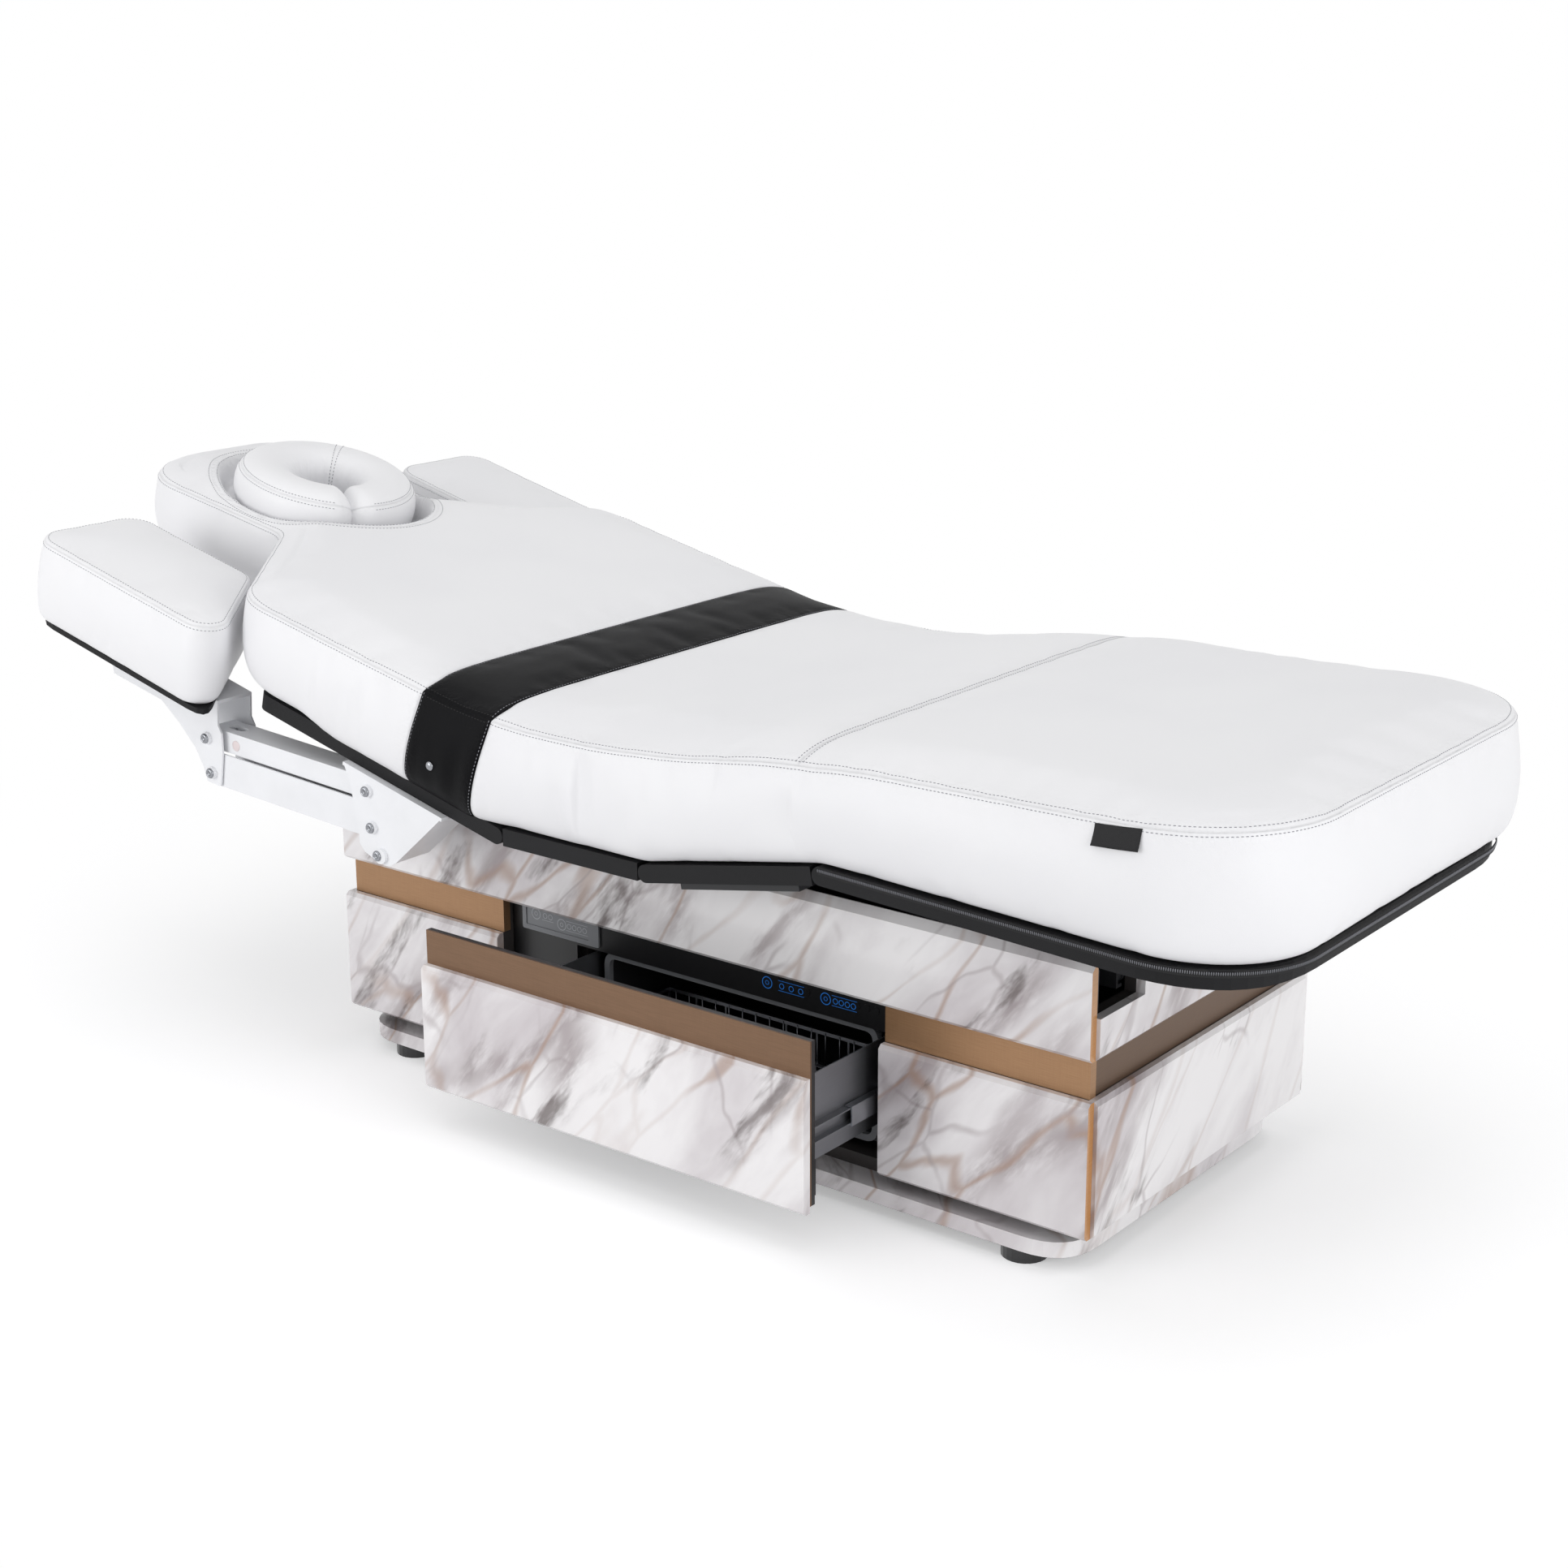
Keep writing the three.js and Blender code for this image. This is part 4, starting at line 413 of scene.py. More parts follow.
# the board line under the mattress, as the frame's own hinges bend it
bend = {
    "back": (-0.075, math.radians(13.8)), "thigh": (0.186, math.radians(11)), "leg": math.radians(-2.2),
    "thighLength": 0.282, "seatZ": 0.427, "half": 0.012, "smooth": 0.09,
}
kneeX = bend["thigh"][0] + bend["thighLength"] * math.cos(bend["thigh"][1])
kneeZ = bend["seatZ"] + bend["thighLength"] * math.sin(bend["thigh"][1])


def boardTop(x):
    (backX, backTurn), (thighX, thighTurn), half, z = bend["back"], bend["thigh"], bend["half"], bend["seatZ"]
    line = np.full_like(x, z + half)
    line = np.where(x < backX, z + half / math.cos(backTurn) + (backX - x) * math.tan(backTurn), line)
    line = np.where(x > thighX, z + half / math.cos(thighTurn) + (x - thighX) * math.tan(thighTurn), line)
    legLine = kneeZ + half / math.cos(bend["leg"]) + (x - kneeX) * math.tan(bend["leg"])
    return np.where(x > kneeX, legLine, line)


def softTop(x):
    return sum(boardTop(x + bend["smooth"] * (i / 4 - 1)) for i in range(9)) / 9


# from the back section's own lines (along, across, up) to the table's
def onBack(points):
    a = bend["back"][1]
    u, y, w = np.asarray(points, float).T
    x = bend["back"][0] + u * math.cos(a) + w * math.sin(a)
    return np.stack([x, y, bend["seatZ"] - u * math.sin(a) + w * math.cos(a)], 1)


# a line through corners, each rounded by its own radius
def rounded(corners, step=0.004):
    points = [np.array(corners[0][:2])]
    for before, (x, y, radius), after in zip(corners, corners[1:-1], corners[2:]):
        here = np.array([x, y])
        a, b = np.array(before[:2]) - here, np.array(after[:2]) - here
        a, b = a / np.linalg.norm(a), b / np.linalg.norm(b)
        half = math.acos(np.clip(a @ b, -1, 1)) / 2
        centre = here + (a + b) / np.linalg.norm(a + b) * radius / math.sin(half)
        start, end = here + a * radius / math.tan(half), here + b * radius / math.tan(half)
        sweep = math.pi - 2 * half
        count = max(4, int(radius * sweep / step))
        u, v = start - centre, end - centre
        for i in range(count + 1):
            t = i / count
            reach = math.sin((1 - t) * sweep) * u + math.sin(t * sweep) * v
            points.append(centre + reach / math.sin(sweep))
    points.append(np.array(corners[-1][:2]))
    return np.array(points)


def runOf(line):
    return np.concatenate([[0], np.cumsum(np.linalg.norm(np.diff(line, axis=0), axis=1))])


def spread(line, lengths):
    run = runOf(line)
    return np.stack([np.interp(lengths, run, line[:, k]) for k in range(2)], 1)


def lengthOf(line):
    return np.linalg.norm(np.diff(line, axis=0), axis=1).sum()


farFromSeam = 1.0
# the share of a cushion's length where each column of points counts as one station
straightColumns = (0.25, 0.97)


# a box cushion on four plan lines: one side, foot end, other side, head end, all going round
class Cushion:
    def __init__(self, lines, underside, seamLine, size, slant=None):
        side, foot, far, head = lines
        self.long, self.wide = len(side) - 1, len(foot) - 1
        self.loop = np.concatenate([side[:-1], foot[:-1], far[::-1][:-1], head[::-1][:-1]])
        self.count = len(self.loop)
        tangent = np.roll(self.loop, -1, 0) - np.roll(self.loop, 1, 0)
        tangent /= np.linalg.norm(tangent, axis=1)[:, None]
        self.out = np.stack([tangent[:, 1], -tangent[:, 0]], 1)
        self.station = self.loop[:, 0]
        self.low, self.high = underside(self.station), seamLine(self.station)
        self.seamLine, self.size, self.slant = seamLine, size, slant
        self.verts, self.faces, self.gap, self.stations, self.hold = [], [], [], [], []
        rings = self.makeWalls()
        self.makeTop(rings[-1])
        self.makeUnderside(rings[0])

    # one closed ring of points round the plan, and the number of its first point
    def ring(self, offset, z, gaps, pin):
        spot = self.loop + self.out * offset
        if self.slant is not None:
            spot = spot - np.stack([(self.high - z) * self.slant(self.station), np.zeros(self.count)], 1)
        first = len(self.verts)
        self.verts.extend(np.column_stack([spot, z]).tolist())
        self.gap.extend(gaps.tolist())
        self.stations.extend(self.station.tolist())
        self.hold.extend([pin] * self.count)
        return first

    def bridge(self, lower, upper):
        for i in range(self.count):
            j = (i + 1) % self.count
            self.faces.append((lower + i, lower + j, upper + j, upper + i))

    def makeWalls(self):
        size, rings = self.size, []
        for rise, bulge in zip(size["rise"], size["bulge"]):
            z = self.low + (self.high - self.low) * rise
            rings.append(self.ring(bulge, z, self.high - z, float(rise in (0, 1))))
        for inset in size["insets"]:
            z = self.high + size["crown"] * (1 - math.exp(-inset / size["soft"]))
            rings.append(self.ring(-inset, z, np.full(self.count, inset), 0.0))
        for lower, upper in zip(rings, rings[1:]):
            self.bridge(lower, upper)
        return rings

    # the top: straight across between the two sides, pulled to the round ends
    def makeTop(self, last):
        nx, ny, count, size = self.long, self.wide, self.count, self.size
        edge = self.loop - self.out * size["insets"][-1]
        near, far = edge[:nx + 1], edge[nx + ny:2 * nx + ny + 1][::-1]
        foot, head = edge[nx:nx + ny + 1], np.concatenate([edge[2 * nx + ny:], edge[:1]])[::-1]
        v = np.linspace(0, 1, ny + 1)[:, None]
        bows = [end - (end[0] * (1 - v) + end[-1] * v) for end in (foot, head)]
        run = runOf(near)
        grid = np.zeros((nx + 1, ny + 1), int)
        for i in range(nx + 1):
            grid[i, 0], grid[i, ny] = last + i, last + (2 * nx + ny - i) % count
        for j in range(ny + 1):
            grid[nx, j], grid[0, j] = last + nx + j, last + (count - j) % count
        spots, stations = [], []
        for i in range(1, nx):
            row = near[i] * (1 - v) + far[i] * v
            for bow, away in zip(bows, (run[-1] - run[i], run[i])):
                t = max(0.0, 1 - away / size["fade"])
                row = row + t * t * (3 - 2 * t) * bow
            for j in range(1, ny):
                grid[i, j] = len(self.verts) + len(spots)
                spots.append(row[j])
                straight = straightColumns[0] < i / nx < straightColumns[1]
                stations.append(self.station[i] if straight else row[j][0])
        spots = np.array(spots)
        reach = np.array([np.sqrt(((self.loop - spot) ** 2).sum(1).min()) for spot in spots])
        z = self.seamLine(spots[:, 0]) + size["crown"] * (1 - np.exp(-reach / size["soft"]))
        self.verts.extend(np.column_stack([spots, z]).tolist())
        self.gap.extend(reach.tolist())
        self.stations.extend(stations)
        self.hold.extend([0.0] * len(spots))
        for i in range(nx):
            for j in range(ny):
                self.faces.append((grid[i, j], grid[i + 1, j], grid[i + 1, j + 1], grid[i, j + 1]))

    # the underside: strips from side to side
    def makeUnderside(self, wall):
        nx, ny, count = self.long, self.wide, self.count
        base = self.ring(-self.size["under"], self.low, np.full(count, farFromSeam), 1.0)
        self.bridge(base, wall)
        for i in range(nx):
            far = 2 * nx + ny - i
            self.faces.append((base + i, base + far % count, base + (far - 1) % count, base + i + 1))
        for j in range(ny // 2):
            for first in (nx, 2 * nx + ny):
                p, q = first + j, first + ny - j
                quad = [base + k % count for k in (p, q, q - 1, p + 1)]
                self.faces.append(tuple(dict.fromkeys(quad)))

    def arrays(self):
        return [np.array(values) for values in (self.verts, self.gap, self.stations, self.hold)]


# leather under pressure, as a light stiff cloth
leatherCloth = {"quality": 4, "mass": 0.2, "stretch": 12, "bend": 2.0, "frames": 20}


# lets a closed cushion swell under its own pressure while its seams stay sewn down
def puff(piece, hold, size):
    group = piece.vertex_groups.new(name="sewn")
    for i in np.nonzero(hold > 0)[0]:
        group.add([int(i)], float(hold[i]), "REPLACE")
    cloth = piece.modifiers.new("swell", "CLOTH")
    leather = cloth.settings
    leather.vertex_group_mass = "sewn"
    leather.use_pressure = True
    leather.uniform_pressure_force = size["pressure"]
    leather.quality = leatherCloth["quality"]
    leather.mass = leatherCloth["mass"]
    leather.tension_stiffness = leather.compression_stiffness = leatherCloth["stretch"]
    leather.bending_stiffness = leatherCloth["bend"]
    leather.shrink_min = size["shrink"]
    leather.effector_weights.gravity = 0
    cloth.collision_settings.use_collision = False
    cloth.point_cache.frame_start, cloth.point_cache.frame_end = 1, leatherCloth["frames"]
    before = np.array([v.co for v in piece.data.vertices])
    for frameNumber in range(1, leatherCloth["frames"] + 1):
        scene.frame_set(frameNumber)
    swollen = piece.evaluated_get(bpy.context.evaluated_depsgraph_get()).data
    moved = np.array([v.co for v in swollen.vertices]) - before
    length = np.linalg.norm(moved, axis=1)[:, None]
    moved *= np.minimum(1, size["swell"] / np.maximum(length, 1e-9))
    piece.modifiers.remove(cloth)
    piece.vertex_groups.clear()
    scene.frame_set(1)
    piece.data.vertices.foreach_set("co", (before + moved).ravel())
    piece.data.update()


def floatLayer(mesh, name, values):
    layer = mesh.attributes.get(name) or mesh.attributes.new(name, "FLOAT", "POINT")
    layer.data.foreach_set("value", np.asarray(values, np.float32))


def readLayer(mesh, name):
    values = np.zeros(len(mesh.vertices), np.float32)
    mesh.attributes[name].data.foreach_get("value", values)
    return values


# bakes a modifier stack into a plain mesh
def settle(piece):
    bpy.context.view_layer.update()
    graph = bpy.context.evaluated_depsgraph_get()
    evaluated = piece.evaluated_get(graph)
    mesh = bpy.data.meshes.new_from_object(evaluated, preserve_all_data_layers=True, depsgraph=graph)
    piece.modifiers.clear()
    piece.data = mesh
    return piece


def refine(piece):
    rounder = piece.modifiers.new("round", "SUBSURF")
    rounder.levels = rounder.render_levels = 1
    return settle(piece)


def treeOf(piece):
    return BVHTree.FromObject(piece, bpy.context.evaluated_depsgraph_get())


# for each vertex of a merged mesh, the point of the first list that it came from
def cameFrom(piece, points):
    tree = KDTree(len(points))
    for i, spot in enumerate(points):
        tree.insert(spot, i)
    tree.balance()
    return np.array([tree.find(v.co)[1] for v in piece.data.vertices])


# mattress: plan and thickness in metres, stations of its seams along the table
mattress = {
    "plan": [(-1.055, 0), (-1.055, -0.164, 0.092), (-0.716, -0.164, 0.045), (-0.540, -0.394, 0.085),
             (1.055, -0.394, 0.165), (1.055, 0)],
    "thick": [(-1.055, 0.108), (-0.540, 0.136), (-0.075, 0.147), (0.186, 0.147), (0.463, 0.134),
              (1.055, 0.166)],
    "bandFrom": -0.188, "bandTo": -0.063, "seatCut": 0.09, "kneeCut": 0.32, "crossSeam": 0.439,
    "rise": [0, 0.03, 0.08, 0.15, 0.24, 0.36, 0.5, 0.64, 0.76, 0.86, 0.925, 0.975, 1.0],
    "bulge": [-0.024, -0.012, -0.003, 0.004, 0.008, 0.0105, 0.011, 0.0095, 0.007, 0.0045, 0.003, 0.002, 0.0],
    "insets": [0.0035, 0.009, 0.018, 0.032], "crown": 0.018, "soft": 0.038, "under": 0.055, "fade": 0.3,
    "slant": 0.33, "slantSpan": (-0.46, 0.14, 0.06, 0.1), "step": 0.0125, "across": 56, "lift": 0.0006,
    "beside": (-0.008, -0.003, 0, 0.003, 0.008), "seamFrom": 0.0005, "seamDepth": 0.0022,
    "seamWidth": 0.0035, "foldDepth": 0.0044, "folds": [(0.02, 0.13, 1.0), (-0.3, 0.12, 0.45)],
    "foldSeam": 0.006, "foldWave": 165, "foldSway": (2.2, 37), "foldLean": 2.5, "foldFine": (0.6, 301, 1.3),
    "foldEnd": 1.1, "sideFrom": 0.35, "sewnWithin": 0.002, "pressure": 0.9, "swell": 0.006, "shrink": -0.004,
}
# a station well past both ends of the table
pastEnds = 2.0


def underside(x):
    return boardTop(x) + mattress["lift"]


def seamTop(x):
    knots = np.array(mattress["thick"])
    return softTop(x) + np.interp(x, knots[:, 0], knots[:, 1])


# the band's sides lean, and the lean eases off on both sides of it
def bandSlant(x):
    start, easeIn, end, easeOut = mattress["slantSpan"]
    rise = np.clip((x - start) / easeIn, 0, 1) * np.clip((end - x) / easeOut, 0, 1)
    return mattress["slant"] * rise * rise * (3 - 2 * rise)


def planLines(corners, keys, step, across):
    line = rounded(corners)
    run = runOf(line)
    headTurn, footTurn = corners[1], corners[-2]
    start = (corners[0][1] - headTurn[1]) - headTurn[2] + headTurn[2] * math.pi / 4
    finish = run[-1] - (abs(footTurn[1] - corners[-1][1]) - footTurn[2] + footTurn[2] * math.pi / 4)
    # a column stands on each key station and close beside it
    marks = {start, finish}
    for x in keys:
        at = float(np.interp(x, line[:, 0], run))
        marks.update(at + offset for offset in mattress["beside"])
    marks = sorted(marks)
    lengths = [marks[0]]
    for a, b in zip(marks, marks[1:]):
        parts = max(1, round((b - a) / step))
        lengths.extend(a + (b - a) * (k + 1) / parts for k in range(parts))
    side = spread(line, lengths)
    ends = []
    for a, b in ((finish, run[-1]), (start, 0)):
        half = spread(line, np.linspace(a, b, across // 2 + 1))
        ends.append(np.concatenate([half, (half * [1, -1])[::-1][1:]]))
    return side, ends[0], side * [1, -1], ends[1]


def rightWay(piece):
    work = bmesh.new()
    work.from_mesh(piece.data)
    bmesh.ops.remove_doubles(work, verts=work.verts, dist=1e-6)
    bmesh.ops.recalc_face_normals(work, faces=work.faces)
    work.to_mesh(piece.data)
    work.free()
    return piece


# folds down the side, from the band towards the seat, as the leather bunches at the bend
def foldsAt(station, share, gap):
    m = mattress
    (sway, swayWave), (fine, fineWave, fineShift) = m["foldSway"], m["foldFine"]
    bunch = sum(most * np.exp(-((station - at) / wide) ** 2) for at, wide, most in m["folds"])
    wave = np.sin(station * m["foldWave"] + sway * np.sin(station * swayWave) + share * m["foldLean"])
    wave = wave + fine * np.sin(station * fineWave + fineShift)
    fade = np.sin(np.pi * np.clip(share * m["foldEnd"], 0, 1)) * (gap > m["foldSeam"])
    return m["foldDepth"] * bunch * wave * fade


def makeMattress():
    m = mattress
    seams = [m["bandFrom"], m["bandTo"], m["crossSeam"]]
    lines = planLines(m["plan"], seams + [m["seatCut"], m["kneeCut"]], m["step"], m["across"])
    cushion = Cushion(lines, underside, seamTop, m, bandSlant)
    verts, gap, station, hold = cushion.arrays()
    top = verts[:, 2] > seamTop(station) - m["seamFrom"]
    for x in seams[:2]:
        gap = np.minimum(gap, abs(station - x))
    gap = np.where(top, np.minimum(gap, abs(station - seams[2])), gap)
    # seams sit a little lower than the leather beside them
    sink = m["seamDepth"] * np.exp(-(gap / m["seamWidth"]) ** 2)
    verts[:, 2] -= sink * top
    verts[:, 1] -= np.sign(verts[:, 1]) * (1 - top) * sink
    side = (abs(verts[:, 1]) > m["sideFrom"]) & ~top
    share = np.clip((verts[:, 2] - boardTop(station)) / (seamTop(station) - boardTop(station)), 0, 1)
    verts[:, 1] += np.sign(verts[:, 1]) * foldsAt(station, share, gap) * side
    whole = rightWay(addPiece("mattressWhole", verts, cushion.faces, "whiteLeather"))
    source = cameFrom(whole, verts)
    floatLayer(whole.data, "seamGap", gap[source])
    floatLayer(whole.data, "station", station[source])
    puff(whole, np.where(gap[source] < m["sewnWithin"], 1.0, hold[source]), m)
    refine(whole)
    sinkRecess(whole.data)
    return whole


# oval hollow for the face pillow, in the back section's own lines
recess = {"centre": -0.782, "long": 0.19, "wide": 0.144, "floor": 0.103, "wall": 0.09, "seam": 1.045,
          "under": 0.02, "before": -0.5}


def sinkRecess(mesh):
    co = np.array([v.co for v in mesh.vertices])
    a = bend["back"][1]
    dx, dz = co[:, 0] - bend["back"][0], co[:, 2] - bend["seatZ"]
    u = dx * math.cos(a) - dz * math.sin(a)
    w = dx * math.sin(a) + dz * math.cos(a)
    radius = np.sqrt(((u - recess["centre"]) / recess["long"]) ** 2 + (co[:, 1] / recess["wide"]) ** 2)
    t = np.clip((1.0 - radius) / recess["wall"], 0, 1)
    t = t * t * (3 - 2 * t)
    inside = (w > recess["floor"] - recess["under"]) & (u < recess["before"])
    w = np.where(inside, w + (recess["floor"] - w) * t, w)
    co[:, 0] = bend["back"][0] + u * math.cos(a) + w * math.sin(a)
    co[:, 2] = bend["seatZ"] - u * math.sin(a) + w * math.cos(a)
    mesh.vertices.foreach_set("co", co.ravel())
    gap = readLayer(mesh, "seamGap")
    away = abs(radius - recess["seam"]) * recess["wide"]
    floatLayer(mesh, "seamGap", np.where(inside, np.minimum(gap, away), gap))
    mesh.update()


# one mattress piece: the faces between two stations, keeping the whole's smooth normals
def pieceBetween(whole, name, x0, x1, paint):
    mesh = whole.data
    station = readLayer(mesh, "station")
    gap = readLayer(mesh, "seamGap")
    co = np.array([v.co for v in mesh.vertices])
    normal = np.array([v.vector for v in mesh.vertex_normals])
    chosen = [p.vertices[:] for p in mesh.polygons if x0 < station[list(p.vertices)].mean() < x1]
    used = np.unique(np.concatenate([np.array(f) for f in chosen]))
    index = {int(v): i for i, v in enumerate(used)}
    piece = addPiece(name, co[used], [[index[v] for v in f] for f in chosen], paint)
    floatLayer(piece.data, "seamGap", gap[used])
    piece.data.normals_split_custom_set_from_vertices([tuple(n) for n in normal[used]])
    return piece


whole = makeMattress()
print("mattress swollen:", len(whole.data.polygons), "faces")
surfaceTree = treeOf(whole)
cuts = [mattress[key] for key in ("bandFrom", "bandTo", "seatCut", "kneeCut")]
mattressParts = [
    ("mattressBack", -pastEnds, cuts[0], "whiteLeather", "mattress_back", "back"),
    ("mattressBand", cuts[0], cuts[1], "blackLeather", "mattress_band", "backBend"),
    ("mattressHip", cuts[1], cuts[2], "whiteLeather", "mattress_seat", "backBend"),
    ("mattressThigh", cuts[2], cuts[3], "whiteLeather", "mattress_thigh", "thighBend"),
    ("mattressLeg", cuts[3], pastEnds, "whiteLeather", "mattress_leg", "kneeBend"),
]
# where the leather bends: from one body to the next, between two stations; the pieces on a bend are only baked
# in place, not bent
bends = {
    "backBend": ("back", "seat", (-0.20, 0, 0.5), (0.07, 0, 0.5)),
    "thighBend": ("seat", "thigh", (0.10, 0, 0.5), (0.30, 0, 0.5)),
    "kneeBend": ("thigh", "leg", (0.335, 0, 0.55), (0.60, 0, 0.55)),
}


def follow(piece, way):
    if way in bends:
        body, other, start, end = bends[way]
        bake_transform(piece)
        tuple(start)
        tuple(end)
    else:
        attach(piece, way)


def finishMattress():
    for name, x0, x1, paint, node, way in mattressParts:
        piece = pieceBetween(whole, name, x0, x1, paint)
        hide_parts(node)
        follow(piece, way)


finishMattress()
bpy.data.objects.remove(whole)
print("mattress split at its bends")

# armrest pads, in the back section's own lines
armSides = (("left", -1), ("right", 1))
pad = {
    "head": -0.900, "foot": -0.487, "inner": 0.265, "outer": 0.457, "skew": 0.151, "corner": 0.042,
    "footCorner": 0.8, "bottom": -0.022, "top": 0.1025, "step": 0.003, "along": 41, "across": 10,
    "turn": 0.78, "sharpTurn": 1.25, "rise": [0, 0.04, 0.1, 0.2, 0.32, 0.46, 0.6, 0.74, 0.86, 0.94, 1.0],
    "bulge": [-0.008, -0.003, 0.001, 0.003, 0.0045, 0.005, 0.005, 0.0045, 0.003, 0.0015, 0.0],
    "insets": [0.003, 0.008, 0.015], "crown": 0.012, "soft": 0.028, "under": 0.02, "fade": 0.12,
    "sewnWithin": 0.001, "pressure": 1.2, "swell": 0.005, "shrink": -0.003,
}
padMiddle = (pad["inner"] + pad["outer"]) / 2


# the four lines go round from the head end: outer side, foot end, inner side, head end
def padLines(sign):
    p, mid = pad, padMiddle
    across = (p["foot"] - p["skew"] / 2, mid)
    outer = [(p["head"], mid), (p["head"], p["outer"], p["corner"]),
             (p["foot"], p["outer"], p["corner"] * p["footCorner"]), across]
    inner = [(p["head"], mid), (p["head"], p["inner"], p["corner"]),
             (p["foot"] - p["skew"], p["inner"], p["corner"]), across]
    a, b = rounded(outer, p["step"]), rounded(inner, p["step"])
    start = (p["outer"] - mid) - p["corner"] + p["corner"] * p["turn"]
    lengthA, lengthB = lengthOf(a), lengthOf(b)
    endA, endB = lengthA - start, lengthB - start * p["sharpTurn"]

    def stretch(line, first, last, count):
        return spread(line, np.linspace(first, last, count))

    side, far = stretch(a, start, endA, p["along"]), stretch(b, start, endB, p["along"])
    count = p["across"]
    foot = np.concatenate([stretch(a, endA, lengthA, count), stretch(b, lengthB, endB, count)[1:]])
    head = np.concatenate([stretch(a, start, 0, count), stretch(b, 0, start, count)[1:]])
    lines = [line * np.array([1, sign]) for line in (side, foot, far, head)]
    if sign > 0:
        lines = [lines[2], lines[1][::-1], lines[0], lines[3][::-1]]
    return lines


def padBottom(x):
    return np.full_like(x, pad["bottom"])


def padTop(x):
    return np.full_like(x, pad["top"])


def makePad(side, sign):
    cushion = Cushion(padLines(sign), padBottom, padTop, pad)
    verts, gap, _, hold = cushion.arrays()
    verts = onBack(verts)
    piece = rightWay(addPiece("armPad_" + side, verts, cushion.faces, "whiteLeather"))
    source = cameFrom(piece, verts)
    floatLayer(piece.data, "seamGap", gap[source])
    puff(piece, np.where(gap[source] < pad["sewnWithin"], 1.0, hold[source]), pad)
    refine(piece)
    tree = treeOf(piece)
    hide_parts("armrest_%s_pad" % side)
    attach(piece, side + "_arm_pad")
    return tree


padTrees = {side: makePad(side, sign) for side, sign in armSides}
print("arm pads made")

# face pillow: a crescent ring that lies in the hollow, angles in degrees
pillow = {
    "centre": -0.782, "radius": 0.0915, "halfWidth": 0.0445, "halfHeight": 0.0445, "stretch": 1.08,
    "gap": -25, "span": 30, "floor": 0.1035, "flatUnder": 0.88, "steps": 72, "sides": 28,
    "tip": 0.030, "tipSteps": 6, "tipFrom": 0.2, "tipTo": math.pi / 2 * 0.94, "squareWide": 0.85,
    "squareHigh": 0.8, "crease": 0.0016, "shoulder": 142, "backSeam": 126,
    "bunchWave": 34, "bunchSway": (2, 9), "sewnWithin": 0.002, "sewnHold": 0.9,
    "pressure": 2.0, "swell": 0.004, "shrink": -0.002,
}
pillowStart = math.radians(pillow["gap"] + pillow["span"] / 2)
pillowSweep = 2 * math.pi - math.radians(pillow["span"])


# a point of the pillow's skin, in the back section's own lines, and how far it is from the ring's centre
def pillowSkin(angle, turn, scale=1.0, crease=0.0):
    p = pillow
    c, s = math.cos(turn), math.sin(turn)
    out = p["radius"] - (scale * p["halfWidth"] - crease) * math.copysign(abs(c) ** p["squareWide"], c)
    up = scale * p["halfHeight"] * math.copysign(abs(s) ** p["squareHigh"], s)
    lowest = p["halfHeight"] * p["flatUnder"]
    z = p["floor"] + lowest + max(up, -lowest)
    return (p["centre"] + out * p["stretch"] * math.cos(angle), out * math.sin(angle), z), out


# the ring's cross-sections as angle and scale, with a round tip at both ends
def pillowSections():
    p = pillow
    reach = p["tip"] / p["radius"]
    tip = np.linspace(p["tipTo"], p["tipFrom"], p["tipSteps"])
    sections = [(pillowStart - reach * math.sin(t), math.cos(t)) for t in tip]
    sections += [(pillowStart + pillowSweep * i / p["steps"], 1.0) for i in range(p["steps"] + 1)]
    tip = np.linspace(p["tipFrom"], p["tipTo"], p["tipSteps"])
    return sections + [(pillowStart + pillowSweep + reach * math.sin(t), math.cos(t)) for t in tip]


def makePillow():
    p, sides = pillow, pillow["sides"]
    sway, swayWave = p["bunchSway"]
    sections = pillowSections()
    verts, gap, faces = [], [], []
    for angle, scale in sections:
        for i in range(sides):
            turn = 2 * math.pi * i / sides
            bunch = math.sin(angle * p["bunchWave"] + sway * math.sin(angle * swayWave))
            bunch *= max(0.0, math.cos(turn)) ** 2
            spot, out = pillowSkin(angle, turn, scale, p["crease"] * bunch * scale)
            verts.append(spot)
            # sewn line round the outer shoulder, and one across the back of the ring
            away = abs((turn - math.radians(p["shoulder"]) + math.pi) % (2 * math.pi) - math.pi)
            gap.append(min(away * p["halfWidth"] * scale, abs(angle - math.radians(p["backSeam"])) * out))
    for r in range(len(sections) - 1):
        for i in range(sides):
            j = (i + 1) % sides
            faces.append((r * sides + i, r * sides + j, (r + 1) * sides + j, (r + 1) * sides + i))
    for r in (0, len(sections) - 1):
        verts.append(tuple(np.array(verts[r * sides:(r + 1) * sides]).mean(0)))
        gap.append(farFromSeam)
        faces.extend((r * sides + i, r * sides + (i + 1) % sides, len(verts) - 1) for i in range(sides))
    verts, gap = onBack(verts), np.array(gap)
    piece = rightWay(addPiece("facePillow", verts, faces, "whiteLeather"))
    source = cameFrom(piece, verts)
    floatLayer(piece.data, "seamGap", gap[source])
    puff(piece, np.where(gap[source] < p["sewnWithin"], p["sewnHold"], 0.0), p)
    refine(piece)
    tree = treeOf(piece)
    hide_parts("face_pillow")
    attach(piece, "back")
    return tree


pillowTree = makePillow()
print("face pillow made")

